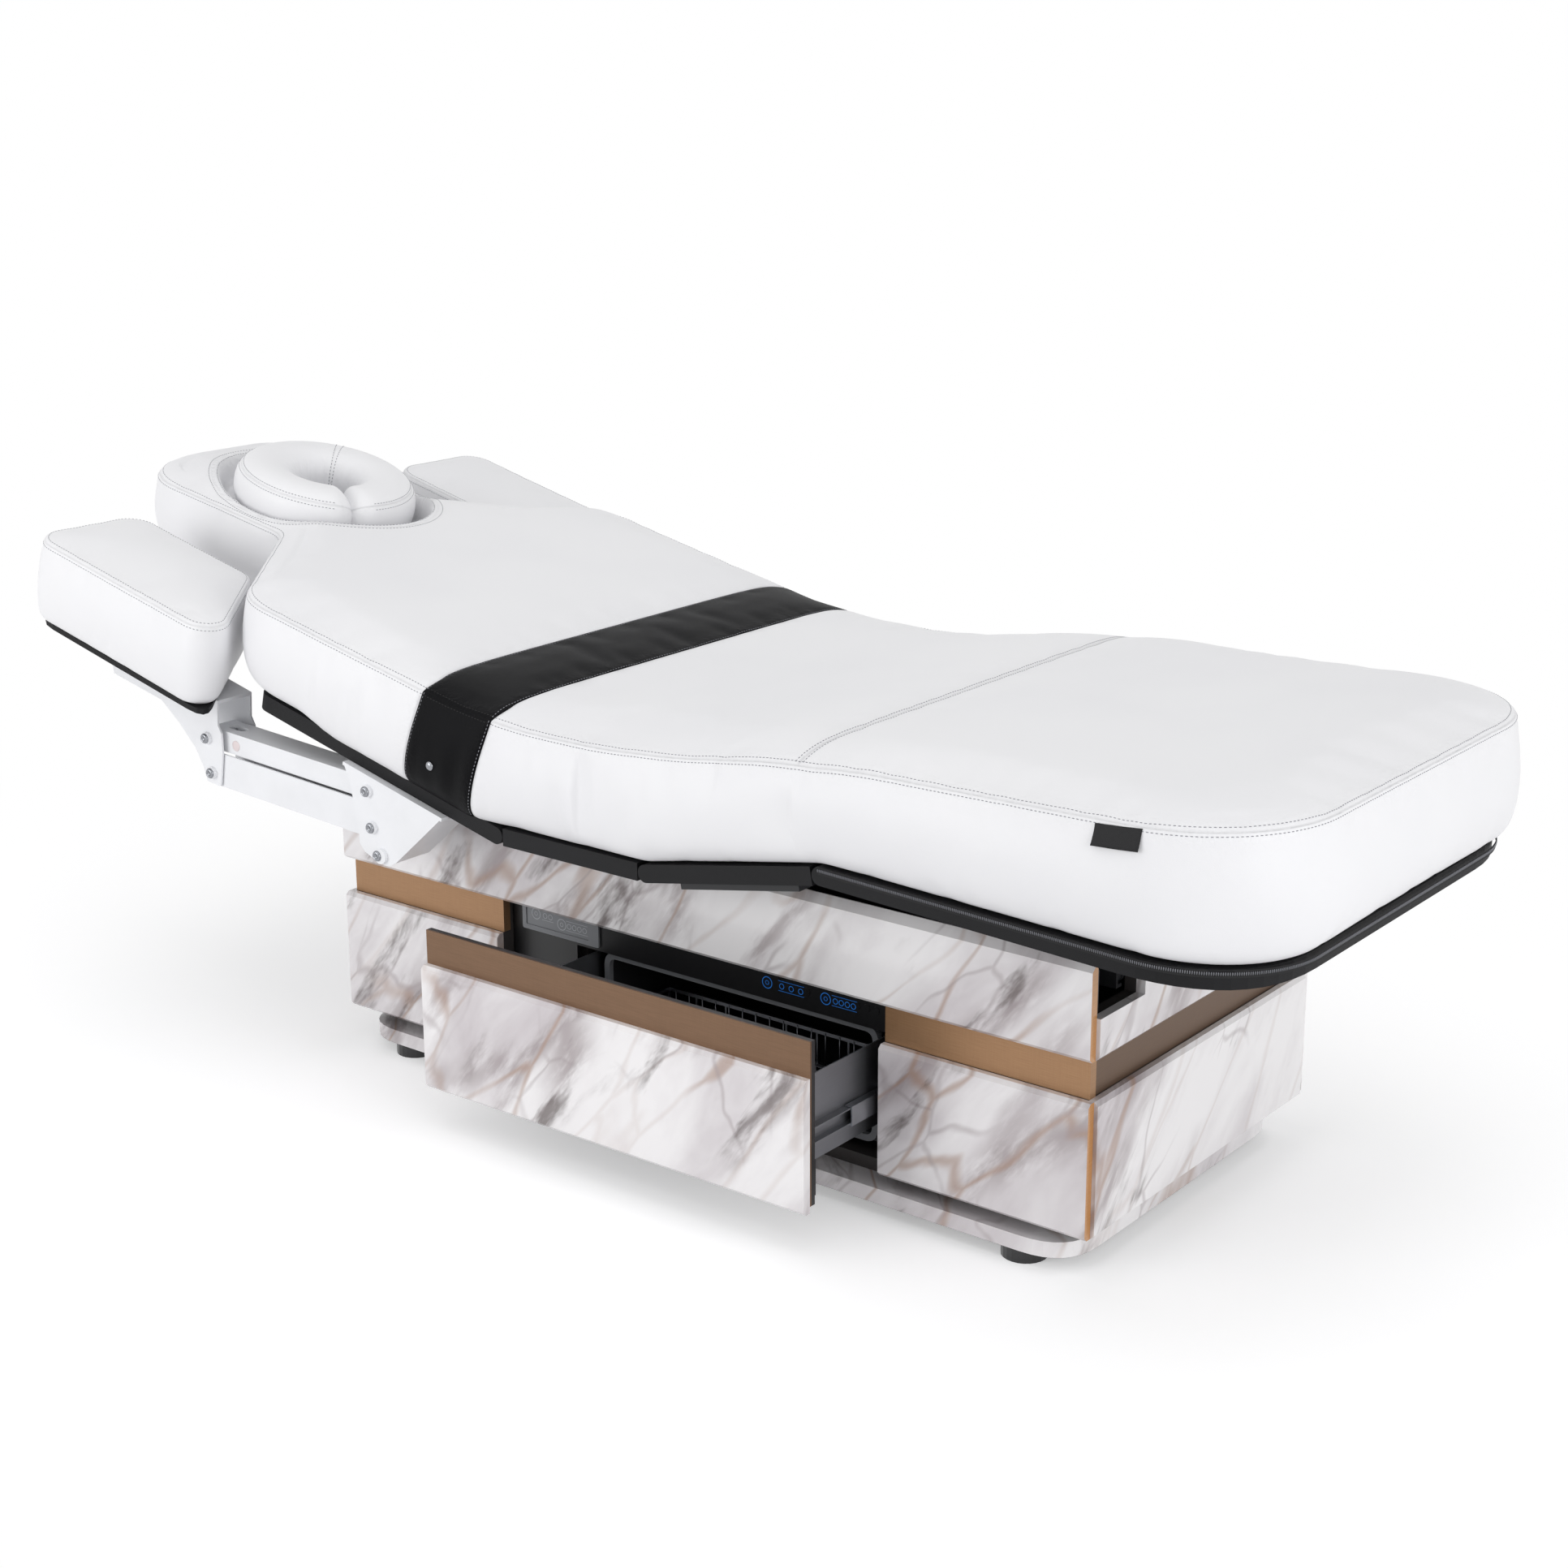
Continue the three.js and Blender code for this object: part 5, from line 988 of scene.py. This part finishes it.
# studio: pale floor, soft light from above, the front and the foot end
studio = {
    "floor": 14, "floorColour": (0.86, 0.86, 0.87, 1), "white": (1, 1, 1, 1), "sky": 0.6, "fill": 0.34,
    "flat": 0.72, "fadeFrom": 0.5, "fadeTo": 1.5,
}
lamps = [
    ("overhead", (0.0, -0.2, 3.2), (0, 0, 0.3), 3.2, 20),
    ("front", (-1.8, -4.2, 1.5), (0, 0, 0.4), 2.6, 70),
    ("footSide", (4.6, -0.8, 1.3), (0.4, 0, 0.4), 2.4, 66),
]


# 1 where one of the named kinds of ray meets the surface
def seenBy(p, *kinds):
    seen = 0.0
    for kind in kinds:
        seen = p.math("MAXIMUM", seen, p.node("ShaderNodeLightPath", out=kind))
    return seen


def makeSky():
    world = bpy.data.worlds.new("studioSky")
    scene.world = world
    p = Paint("studioSky", world)
    soft = p.node("ShaderNodeBackground", {}, {0: studio["white"], 1: studio["sky"]})
    bright = p.node("ShaderNodeBackground", {}, {0: studio["white"], 1: 1.0})
    seen = seenBy(p, "Is Camera Ray", "Is Glossy Ray", "Is Transmission Ray")
    p.node("ShaderNodeOutputWorld", {}, {0: p.node("ShaderNodeMixShader", {}, {0: seen, 1: soft, 2: bright})})


def floorPaint():
    k = studio
    p = Paint("paleFloor")
    x, y = p.split(p.place())[:2]
    away = (x * x * k["flat"] * k["flat"] + y * y) ** 0.5
    seen = seenBy(p, "Is Camera Ray", "Is Glossy Ray")
    lit = p.node("ShaderNodeBsdfDiffuse", {}, {0: k["floorColour"]})
    glow = p.node("ShaderNodeEmission", {}, {0: k["white"], 1: seen * k["fill"]})
    near = p.node("ShaderNodeAddShader", {}, {0: lit, 1: glow})
    white = p.node("ShaderNodeEmission", {}, {0: k["white"], 1: 1.0})
    fade = p.smooth(away, k["fadeFrom"], k["fadeTo"]) * seen
    mixed = p.node("ShaderNodeMixShader", {}, {0: fade, 1: near, 2: white})
    p.node("ShaderNodeOutputMaterial", {}, {"Surface": mixed})
    return p.material


def makeStudio():
    makeSky()
    paints["floor"] = floorPaint()
    s = studio["floor"]
    corners = [(-s, -s, 0), (s, -s, 0), (s, s, 0), (-s, s, 0)]
    floor = addPiece("studioFloor", corners, [(0, 1, 2, 3)], "floor", False)
    floor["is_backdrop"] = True
    for name, place, aim, size, power in lamps:
        lamp = bpy.data.lights.new(name, "AREA")
        lamp.shape, lamp.size, lamp.energy = "SQUARE", size, power
        holder = bpy.data.objects.new(name, lamp)
        scene.collection.objects.link(holder)
        holder.location = place
        holder.rotation_euler = (Vector(aim) - Vector(place)).to_track_quat("-Z", "Y").to_euler()


makeStudio()
scene.view_settings.view_transform = "Standard"
print("studio lit")

# repeats: one small pattern set out along lines or on marked points
def repeatNodes(name, alongLine):
    group = bpy.data.node_groups.new(name, "GeometryNodeTree")
    sockets = {"Geometry": "Geometry", "Pattern": "Object", "Paint": "Material", "Pitch": "Float",
               "Wobble": "Float", "Seed": "Int"}
    for label, kind in sockets.items():
        group.interface.new_socket(label, in_out="INPUT", socket_type="NodeSocket" + kind)
    group.interface.new_socket("Geometry", in_out="OUTPUT", socket_type="NodeSocketGeometry")
    add, link = group.nodes.new, group.links.new
    start, end = add("NodeGroupInput"), add("NodeGroupOutput")
    pattern, copies = add("GeometryNodeObjectInfo"), add("GeometryNodeInstanceOnPoints")
    aim = add("FunctionNodeAlignRotationToVector")
    link(start.outputs["Pattern"], pattern.inputs["Object"])
    if alongLine:
        curve, resample = add("GeometryNodeMeshToCurve"), add("GeometryNodeResampleCurve")
        resample.mode = "LENGTH"
        link(start.outputs["Geometry"], curve.inputs["Mesh"])
        link(curve.outputs["Curve"], resample.inputs["Curve"])
        link(start.outputs["Pitch"], resample.inputs["Length"])
        link(resample.outputs["Curve"], copies.inputs["Points"])
        aim.axis = "X"
        link(add("GeometryNodeInputTangent").outputs[0], aim.inputs["Vector"])
    else:
        facing = add("GeometryNodeInputNamedAttribute")
        facing.data_type = "FLOAT_VECTOR"
        facing.inputs["Name"].default_value = "facing"
        link(start.outputs["Geometry"], copies.inputs["Points"])
        aim.axis = "Z"
        link(facing.outputs["Attribute"], aim.inputs["Vector"])
    link(pattern.outputs["Geometry"], copies.inputs["Instance"])
    link(aim.outputs["Rotation"], copies.inputs["Rotation"])
    # each copy turns a little, by chance, up to the wobble either way
    chance, back = add("FunctionNodeRandomValue"), add("ShaderNodeMath")
    chance.data_type = "FLOAT_VECTOR"
    back.operation = "MULTIPLY"
    back.inputs[1].default_value = -1.0
    link(start.outputs["Wobble"], back.inputs[0])
    link(back.outputs[0], chance.inputs[0])
    link(start.outputs["Wobble"], chance.inputs[1])
    link(start.outputs["Seed"], chance.inputs["Seed"])
    sway, real = add("GeometryNodeRotateInstances"), add("GeometryNodeRealizeInstances")
    coat = add("GeometryNodeSetMaterial")
    link(copies.outputs["Instances"], sway.inputs["Instances"])
    link(chance.outputs[0], sway.inputs["Rotation"])
    link(sway.outputs["Instances"], real.inputs["Geometry"])
    link(real.outputs["Geometry"], coat.inputs["Geometry"])
    link(start.outputs["Paint"], coat.inputs["Material"])
    link(coat.outputs["Geometry"], end.inputs["Geometry"])
    return group


lineNodes = repeatNodes("repeatAlongLine", True)
pointNodes = repeatNodes("repeatOnPoints", False)


def repeatPiece(name, points, edges, pattern, paint, facing=None, pitch=0.005, wobble=0.05, seed=4):
    mesh = bpy.data.meshes.new(name)
    mesh.from_pydata([tuple(p) for p in points], edges, [])
    if facing is not None:
        layer = mesh.attributes.new("facing", "FLOAT_VECTOR", "POINT")
        layer.data.foreach_set("vector", np.array(facing, np.float32).ravel())
    piece = bpy.data.objects.new(name, mesh)
    scene.collection.objects.link(piece)
    repeat = piece.modifiers.new("repeat", "NODES")
    repeat.node_group = lineNodes if edges else pointNodes
    values = {"Pattern": pattern, "Paint": paints[paint], "Pitch": pitch, "Wobble": wobble, "Seed": seed}
    for item in repeat.node_group.interface.items_tree:
        if item.in_out == "INPUT" and item.name in values:
            repeat[item.identifier] = values[item.name]
    return settle(piece)


def sphere(name, size, sides=6, rings=4):
    work = bmesh.new()
    bmesh.ops.create_uvsphere(work, u_segments=sides, v_segments=rings, radius=1.0)
    bmesh.ops.scale(work, vec=size, verts=work.verts)
    mesh = bpy.data.meshes.new(name)
    work.to_mesh(mesh)
    work.free()
    mesh.polygons.foreach_set("use_smooth", [True] * len(mesh.polygons))
    return bpy.data.objects.new(name, mesh)


# a turned solid: radius and height pairs, round the Z axis
def turnedMesh(profile, sides, hexFrom=None):
    verts, faces = [], []
    for row, (radius, height) in enumerate(profile):
        for i in range(sides):
            angle = 2 * math.pi * i / sides
            r = radius
            if hexFrom is not None and row >= hexFrom:
                r = radius / math.cos((angle + math.pi / 6) % (math.pi / 3) - math.pi / 6)
            verts.append((r * math.cos(angle), r * math.sin(angle), height))
    for row in range(len(profile) - 1):
        for i in range(sides):
            j = (i + 1) % sides
            faces.append((row * sides + i, row * sides + j, (row + 1) * sides + j, (row + 1) * sides + i))
    faces.append(tuple(range(sides))[::-1])
    faces.append(tuple((len(profile) - 1) * sides + i for i in range(sides)))
    return verts, faces


# thread: its size, and from where the seams are traced onto the leather
stitch = {
    "pitch": 0.0054, "size": (0.0019, 0.0006, 0.0005), "off": 0.0055, "lift": 0.0001, "step": 0.004,
    "longest": 0.02, "above": 0.15, "aimDown": 0.1, "beside": 0.06, "below": 0.001, "ceiling": 1.2,
    "outside": 0.6, "halfAcross": 0.388, "bandIn": 0.0035, "bandTop": 0.004, "bandFoot": 0.012,
    "ovalPoints": 240, "ovalHigh": 0.3, "ovalLow": 0.1,
}
threadPattern = sphere("threadPattern", stitch["size"])


def onto(tree, origin, direction):
    spot, normal = tree.ray_cast(Vector(origin), Vector(direction).normalized())[:2]
    return None if spot is None else spot + normal * stitch["lift"]


def traced(tree, starts, aims):
    return [onto(tree, a, b - a) for a, b in zip(starts, aims)]


# two lines of thread, one on each side of a seam that runs round a cushion's top edge
def edgeLines(tree, loop, height, toWorld):
    s = stitch
    tangent = np.gradient(loop, axis=0)
    tangent /= np.linalg.norm(tangent, axis=1)[:, None]
    out = np.stack([tangent[:, 1], -tangent[:, 0]], 1)
    if (out[len(loop) // 2] @ (loop[len(loop) // 2] - loop.mean(0))) < 0:
        out = -out
    z = height(loop[:, 0])[:, None]
    inside, above, below = loop - out * s["off"], z + s["above"], z - (s["off"] + s["below"])
    top = toWorld(np.hstack([inside, above])), toWorld(np.hstack([inside, above - s["aimDown"]]))
    side = toWorld(np.hstack([loop + out * s["beside"], below])), toWorld(np.hstack([loop, below]))
    return [traced(tree, *top), traced(tree, *side)]


def acrossLine(x):
    half = stitch["halfAcross"]
    # a hair more than half, so that the last point counts
    across = np.arange(-half, half + 0.0001, stitch["step"])
    return [onto(surfaceTree, (x, y, stitch["ceiling"]), (0, 0, -1)) for y in across]


def recessLine(offset):
    turn = np.linspace(0, 2 * math.pi, stitch["ovalPoints"])
    oval = recess["seam"] + offset / recess["wide"]
    u = recess["centre"] + recess["long"] * oval * np.cos(turn)
    y = recess["wide"] * oval * np.sin(turn)
    high, low = [onBack(np.stack([u, y, np.full_like(u, stitch[key])], 1)) for key in ("ovalHigh", "ovalLow")]
    return traced(surfaceTree, high, low)


def bandSideLine(x, sign):
    at = np.array([x])
    high, low, slant = (float(line(at)[0]) for line in (seamTop, boardTop, bandSlant))
    heights = np.arange(high - stitch["bandTop"], low + stitch["bandFoot"], -stitch["step"])
    return [onto(surfaceTree, (x - (high - z) * slant, sign * stitch["outside"], z), (0, -sign, 0))
            for z in heights]


def sewMattress():
    off = stitch["off"]
    plan = rounded(mattress["plan"])
    plan = spread(plan, np.arange(0, lengthOf(plan), stitch["step"]))
    lines = []
    for flip in (1, -1):
        lines += edgeLines(surfaceTree, plan * [1, flip], seamTop, np.asarray)
    lines += [acrossLine(mattress["crossSeam"] + shift) for shift in (-off, off)]
    lines += [recessLine(shift) for shift in (-off, off)]
    for number, (_, x0, x1, leather, _, way) in enumerate(mattressParts):
        thread = "darkThread" if leather == "blackLeather" else "thread"
        sewPiece("mattressStitches%d" % number, lines, way, thread, x0, x1)
    # pale thread along both edges of the band
    band = []
    for x in (mattress["bandFrom"] + stitch["bandIn"], mattress["bandTo"] - stitch["bandIn"]):
        band += [acrossLine(x), bandSideLine(x, -1), bandSideLine(x, 1)]
    sewPiece("bandStitches", band, "backBend", "thread")


def sewPiece(name, lines, way, paint, x0=-pastEnds, x1=pastEnds):
    points, edges = [], []
    for line in lines:
        before = None
        for spot in line:
            if spot is None or not x0 < spot[0] < x1:
                before = None
                continue
            points.append(spot)
            if before is not None and (points[before] - spot).length < stitch["longest"]:
                edges.append((before, len(points) - 1))
            before = len(points) - 1
    follow(repeatPiece(name, points, edges, threadPattern, paint, pitch=stitch["pitch"]), way)


def sewPads():
    p = pad
    corners = [(p["head"], padMiddle), (p["head"], p["outer"], p["corner"]),
               (p["foot"], p["outer"], p["corner"] * p["footCorner"]),
               (p["foot"] - p["skew"], p["inner"], p["corner"]), (p["head"], p["inner"], p["corner"]),
               (p["head"], padMiddle)]
    outline = rounded(corners, p["step"])
    outline = spread(outline, np.arange(0, lengthOf(outline), stitch["step"]))
    for side, sign in armSides:
        lines = edgeLines(padTrees[side], outline * [1, sign], padTop, onBack)
        sewPiece("padStitches_" + side, lines, side + "_arm_pad", "thread")


# lines on the pillow beside its two seams, angles in degrees
pillowThread = {"round": (135, 149), "roundPoints": 130, "across": 0.05, "acrossSpan": (-20, 180),
                "acrossPoints": 40}


def onPillow(angle, turn):
    at = onBack(np.array([pillowSkin(angle, turn)[0]]))[0]
    near, normal = pillowTree.find_nearest(Vector(at))[:2]
    return near + normal * stitch["lift"]


def sewPillow():
    k = pillowThread
    angles = np.linspace(pillowStart, pillowStart + pillowSweep, k["roundPoints"])
    lines = [[onPillow(angle, math.radians(turn)) for angle in angles] for turn in k["round"]]
    for shift in (-k["across"], k["across"]):
        angle = math.radians(pillow["backSeam"]) + shift
        turns = np.linspace(*k["acrossSpan"], k["acrossPoints"])
        lines.append([onPillow(angle, math.radians(turn)) for turn in turns])
    sewPiece("pillowStitches", lines, "back", "thread")


sewMattress()
sewPads()
sewPillow()
bpy.data.objects.remove(threadPattern)
print("stitches sewn")

# zip between the leg board and the leather, round the foot end
zipper = {
    "from": 0.46, "inset": 0.0108, "rise": -0.0048, "pitch": 0.0026, "tooth": (0.0017, 0.0016, 0.0046),
    "wobble": 0.02, "step": 0.005, "tape": (0.0116, 0.0112), "tapeTop": -0.0008, "tapeFoot": -0.0098,
}


def zipLine(inset, rise):
    plan = rounded(mattress["plan"])
    plan = spread(plan, np.arange(0, lengthOf(plan), zipper["step"]))
    loop = np.concatenate([plan, (plan * [1, -1])[::-1][1:]])
    tangent = np.gradient(loop, axis=0)
    tangent /= np.linalg.norm(tangent, axis=1)[:, None]
    inner = loop + np.stack([-tangent[:, 1], tangent[:, 0]], 1) * inset
    inner = inner[loop[:, 0] > zipper["from"]]
    return np.column_stack([inner, boardTop(inner[:, 0]) + rise])


def makeZip():
    z = zipper
    outer, inner = zipLine(z["tape"][1], z["tapeFoot"]), zipLine(z["tape"][0], z["tapeTop"])
    count = len(outer)
    faces = [(i, i + 1, count + i + 1, count + i) for i in range(count - 1)]
    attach(addPiece("zipTape", np.concatenate([outer, inner]), faces, "tape"), "leg")
    tooth = sphere("toothPattern", [s / 2 for s in z["tooth"]])
    line = zipLine(z["inset"], z["rise"])
    edges = [(i, i + 1) for i in range(len(line) - 1)]
    teeth = repeatPiece("zipTeeth", line, edges, tooth, "zip", pitch=z["pitch"], wobble=z["wobble"])
    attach(teeth, "leg")
    bpy.data.objects.remove(tooth)


makeZip()
print("zip closed")

# bolts of the armrest brackets, snap stud on the band, plugs on the upper arms
boltHead = [(0.0072, 0.0), (0.0076, 0.0008), (0.0072, 0.0024), (0.0058, 0.0038), (0.0034, 0.0043),
            (0.0033, 0.0022)]
studHead = [(0.0064, 0.0), (0.0068, 0.0008), (0.006, 0.0026), (0.004, 0.0038), (0.0012, 0.0042)]
plugHead = [(0.0078, 0.0), (0.0078, 0.0009), (0.007, 0.0014), (0.003, 0.0015)]
fixings = {
    "back": [(-0.298985, 0.397991), (-0.306011, 0.44904)],
    "pad": [(-0.630934, 0.417131), (-0.63796, 0.46818)],
    "clamp": (-0.2878, 0.3600), "plug": (-0.5875, 0.4620), "stud": (-0.1694, 0.5118), "outside": 0.6,
    "sink": 0.0004, "sides": 24, "hexFrom": 4,
}


def nodeTree(name):
    piece = nodes[name]
    turn = piece.matrix_world
    points = [turn @ v.co for v in piece.data.vertices]
    return BVHTree.FromPolygons(points, [p.vertices[:] for p in piece.data.polygons])


def patternOf(name, profile, hexFrom=None):
    piece = addPiece(name, *turnedMesh(profile, fixings["sides"], hexFrom), "bolt")
    scene.collection.objects.unlink(piece)
    return piece


def fixPiece(name, tree, places, sign, pattern, paint, way):
    points, facing = [], []
    for x, z in places:
        spot, normal = tree.ray_cast(Vector((x, sign * fixings["outside"], z)), Vector((0, -sign, 0)))[:2]
        if spot is not None:
            points.append(spot - normal * fixings["sink"])
            facing.append(normal)
    follow(repeatPiece(name, points, [], pattern, paint, facing=facing, wobble=0.0), way)


def makeFixings():
    f = fixings
    bolt = patternOf("boltPattern", boltHead, f["hexFrom"])
    stud, plug = patternOf("studPattern", studHead), patternOf("plugPattern", plugHead)
    rows = [
        ("tableBolts_", "table_bracket", f["back"] + [f["clamp"]], bolt, "bolt", "back"),
        ("padBolts_", "pad_bracket", f["pad"], bolt, "bolt", "%s_arm_pad"),
        ("armPlug_", "upper_arm", [f["plug"]], plug, "plug", "%s_upper_arm"),
    ]
    for side, sign in armSides:
        for name, node, places, pattern, paint, way in rows:
            tree = nodeTree("armrest_%s_%s" % (side, node))
            fixPiece(name + side, tree, places, sign, pattern, paint, way.replace("%s", side))
    fixPiece("snapStud", surfaceTree, [f["stud"]], -1, stud, "bolt", "backBend")
    for pattern in (bolt, stud, plug):
        bpy.data.objects.remove(pattern)


makeFixings()
print("bolts and stud fixed")

# small plain fabric tag sewn into the side seam near the foot end
tag = {
    "left": 0.8505, "right": 0.9085, "topLeft": 0.6262, "topRight": 0.6300, "drop": 0.0245, "flare": 0.004,
    "thick": 0.0011, "away": 0.0008, "ripple": 0.55, "columns": 12, "rows": 6, "outside": -0.6,
}


def makeTag():
    t, columns, rows = tag, tag["columns"], tag["rows"]
    verts, faces = [], []
    for i in range(columns + 1):
        x = t["left"] + (t["right"] - t["left"]) * i / columns
        top = t["topLeft"] + (t["topRight"] - t["topLeft"]) * i / columns
        for j in range(rows + 1):
            z = top - t["drop"] * j / rows
            spot, normal = surfaceTree.ray_cast(Vector((x, t["outside"], z)), Vector((0, 1, 0)))[:2]
            ripple = t["away"] * math.sin(i * t["ripple"]) * j / rows
            verts.append(spot + normal * (t["away"] + t["flare"] * (j / rows) ** 2 + ripple))
    for i in range(columns):
        for j in range(rows):
            a = i * (rows + 1) + j
            faces.append((a, a + rows + 1, a + rows + 2, a + 1))
    piece = addPiece("sewnTag", verts, faces, "tape")
    thick = piece.modifiers.new("thick", "SOLIDIFY")
    thick.thickness, thick.offset = t["thick"], 0
    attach(settle(piece), "leg")


makeTag()
print("tag sewn")

# fine rods between the basket's square wires
rods = {"x": (0.0004, 0.4149), "y": (-0.3735, -0.1215), "floor": 0.1008, "top": 0.1485, "radius": 0.0009,
        "floorPitch": 0.0125, "wallPitch": 0.024, "sides": 6}


def addRod(verts, faces, start, end):
    start, end = Vector(start), Vector(end)
    axis = (end - start).normalized()
    across = axis.orthogonal().normalized() * rods["radius"]
    up = axis.cross(across)
    first, sides = len(verts), rods["sides"]
    for i in range(sides):
        t = 2 * math.pi * i / sides
        away = across * math.cos(t) + up * math.sin(t)
        verts += [start + away, end + away]
    for i in range(sides):
        a, b = first + 2 * i, first + 2 * ((i + 1) % sides)
        faces.append((a, b, b + 1, a + 1))
    faces.append([first + 2 * i for i in reversed(range(sides))])
    faces.append([first + 2 * i + 1 for i in range(sides)])


def makeRods():
    (x0, x1), (y0, y1), low, high = rods["x"], rods["y"], rods["floor"], rods["top"]
    verts, faces = [], []
    for y in np.arange(y0 + rods["floorPitch"] / 2, y1, rods["floorPitch"]):
        addRod(verts, faces, (x0, y, low), (x1, y, low))
    for x in np.arange(x0 + rods["wallPitch"] / 2, x1, rods["wallPitch"]):
        addRod(verts, faces, (x, y1, low), (x, y1, high))
    for y in np.arange(y0 + rods["wallPitch"] / 2, y1, rods["wallPitch"]):
        for x in (x0, x1):
            addRod(verts, faces, (x, y, low), (x, y, high))
    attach(addPiece("basketRods", verts, faces, "wire"), "drawer")


makeRods()
print("basket rods laid")

# lit rings on the two control strips: each row as x, z, distance to its small rings, their pitch and count
icons = {
    "ring": 0.0078, "line": 0.0011, "small": 0.0036, "face": 0.0003, "sides": 28, "outside": -0.6, "rays": 12,
    "dot": 0.35, "dotLine": 0.7, "smallLine": 0.8, "stripEnd": 1.6, "stripHalf": 1.9, "stripLine": 0.0006,
    "blue": [(0.2776, 0.2615, 0.024, 0.0155, 3), (0.3729, 0.2615, 0.0155, 0.0095, 4)],
    "grey": [(-0.132, 0.268, 0.017, 0.010, 2), (-0.084, 0.262, 0.014, 0.0095, 4)],
}


def addCircle(verts, faces, x, y, z, radius, line):
    first, sides = len(verts), icons["sides"]
    for r in (radius - line / 2, radius + line / 2):
        for i in range(sides):
            t = 2 * math.pi * i / sides
            verts.append((x + r * math.cos(t), y, z + r * math.sin(t)))
    for i in range(sides):
        j = (i + 1) % sides
        faces.append((first + i, first + j, first + sides + j, first + sides + i))


# the y of the foremost spot of a strip
def faceOf(tree, x0, x1, z):
    hits = [tree.ray_cast(Vector((x, icons["outside"], z + rise)), Vector((0, 1, 0)))[0]
            for x in np.linspace(x0, x1, icons["rays"]) for rise in (-icons["ring"], 0, icons["ring"])]
    return min(hit[1] for hit in hits if hit is not None) - icons["face"]


def makeIcons():
    k = icons
    for key, node, paint in (("blue", "control_fascia", "blueGlow"), ("grey", "control_module", "greyGlow")):
        tree = nodeTree(node)
        verts, faces = [], []
        for x, z, gap, pitch, count in k[key]:
            x0 = x + gap - k["small"] * k["stripEnd"]
            x1 = x + gap + pitch * (count - 1) + k["small"] * k["stripEnd"]
            y = faceOf(tree, x - k["ring"], x1, z)
            addCircle(verts, faces, x, y, z, k["ring"], k["line"])
            addCircle(verts, faces, x, y, z, k["ring"] * k["dot"], k["line"] * k["dotLine"])
            for i in range(count):
                addCircle(verts, faces, x + gap + pitch * i, y, z, k["small"], k["line"] * k["smallLine"])
            for edge in (-1, 1):
                low = z + edge * k["small"] * k["stripHalf"]
                high, first = low + k["stripLine"], len(verts)
                verts += [(x0, y, low), (x1, y, low), (x1, y, high), (x0, y, high)]
                faces.append((first, first + 1, first + 2, first + 3))
        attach(addPiece("controlRings_" + key, verts, faces, paint, False), "cabinet")


makeIcons()
print("controls lit")

[[list(corner) for corner in box] for box in (cadBounds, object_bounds())]
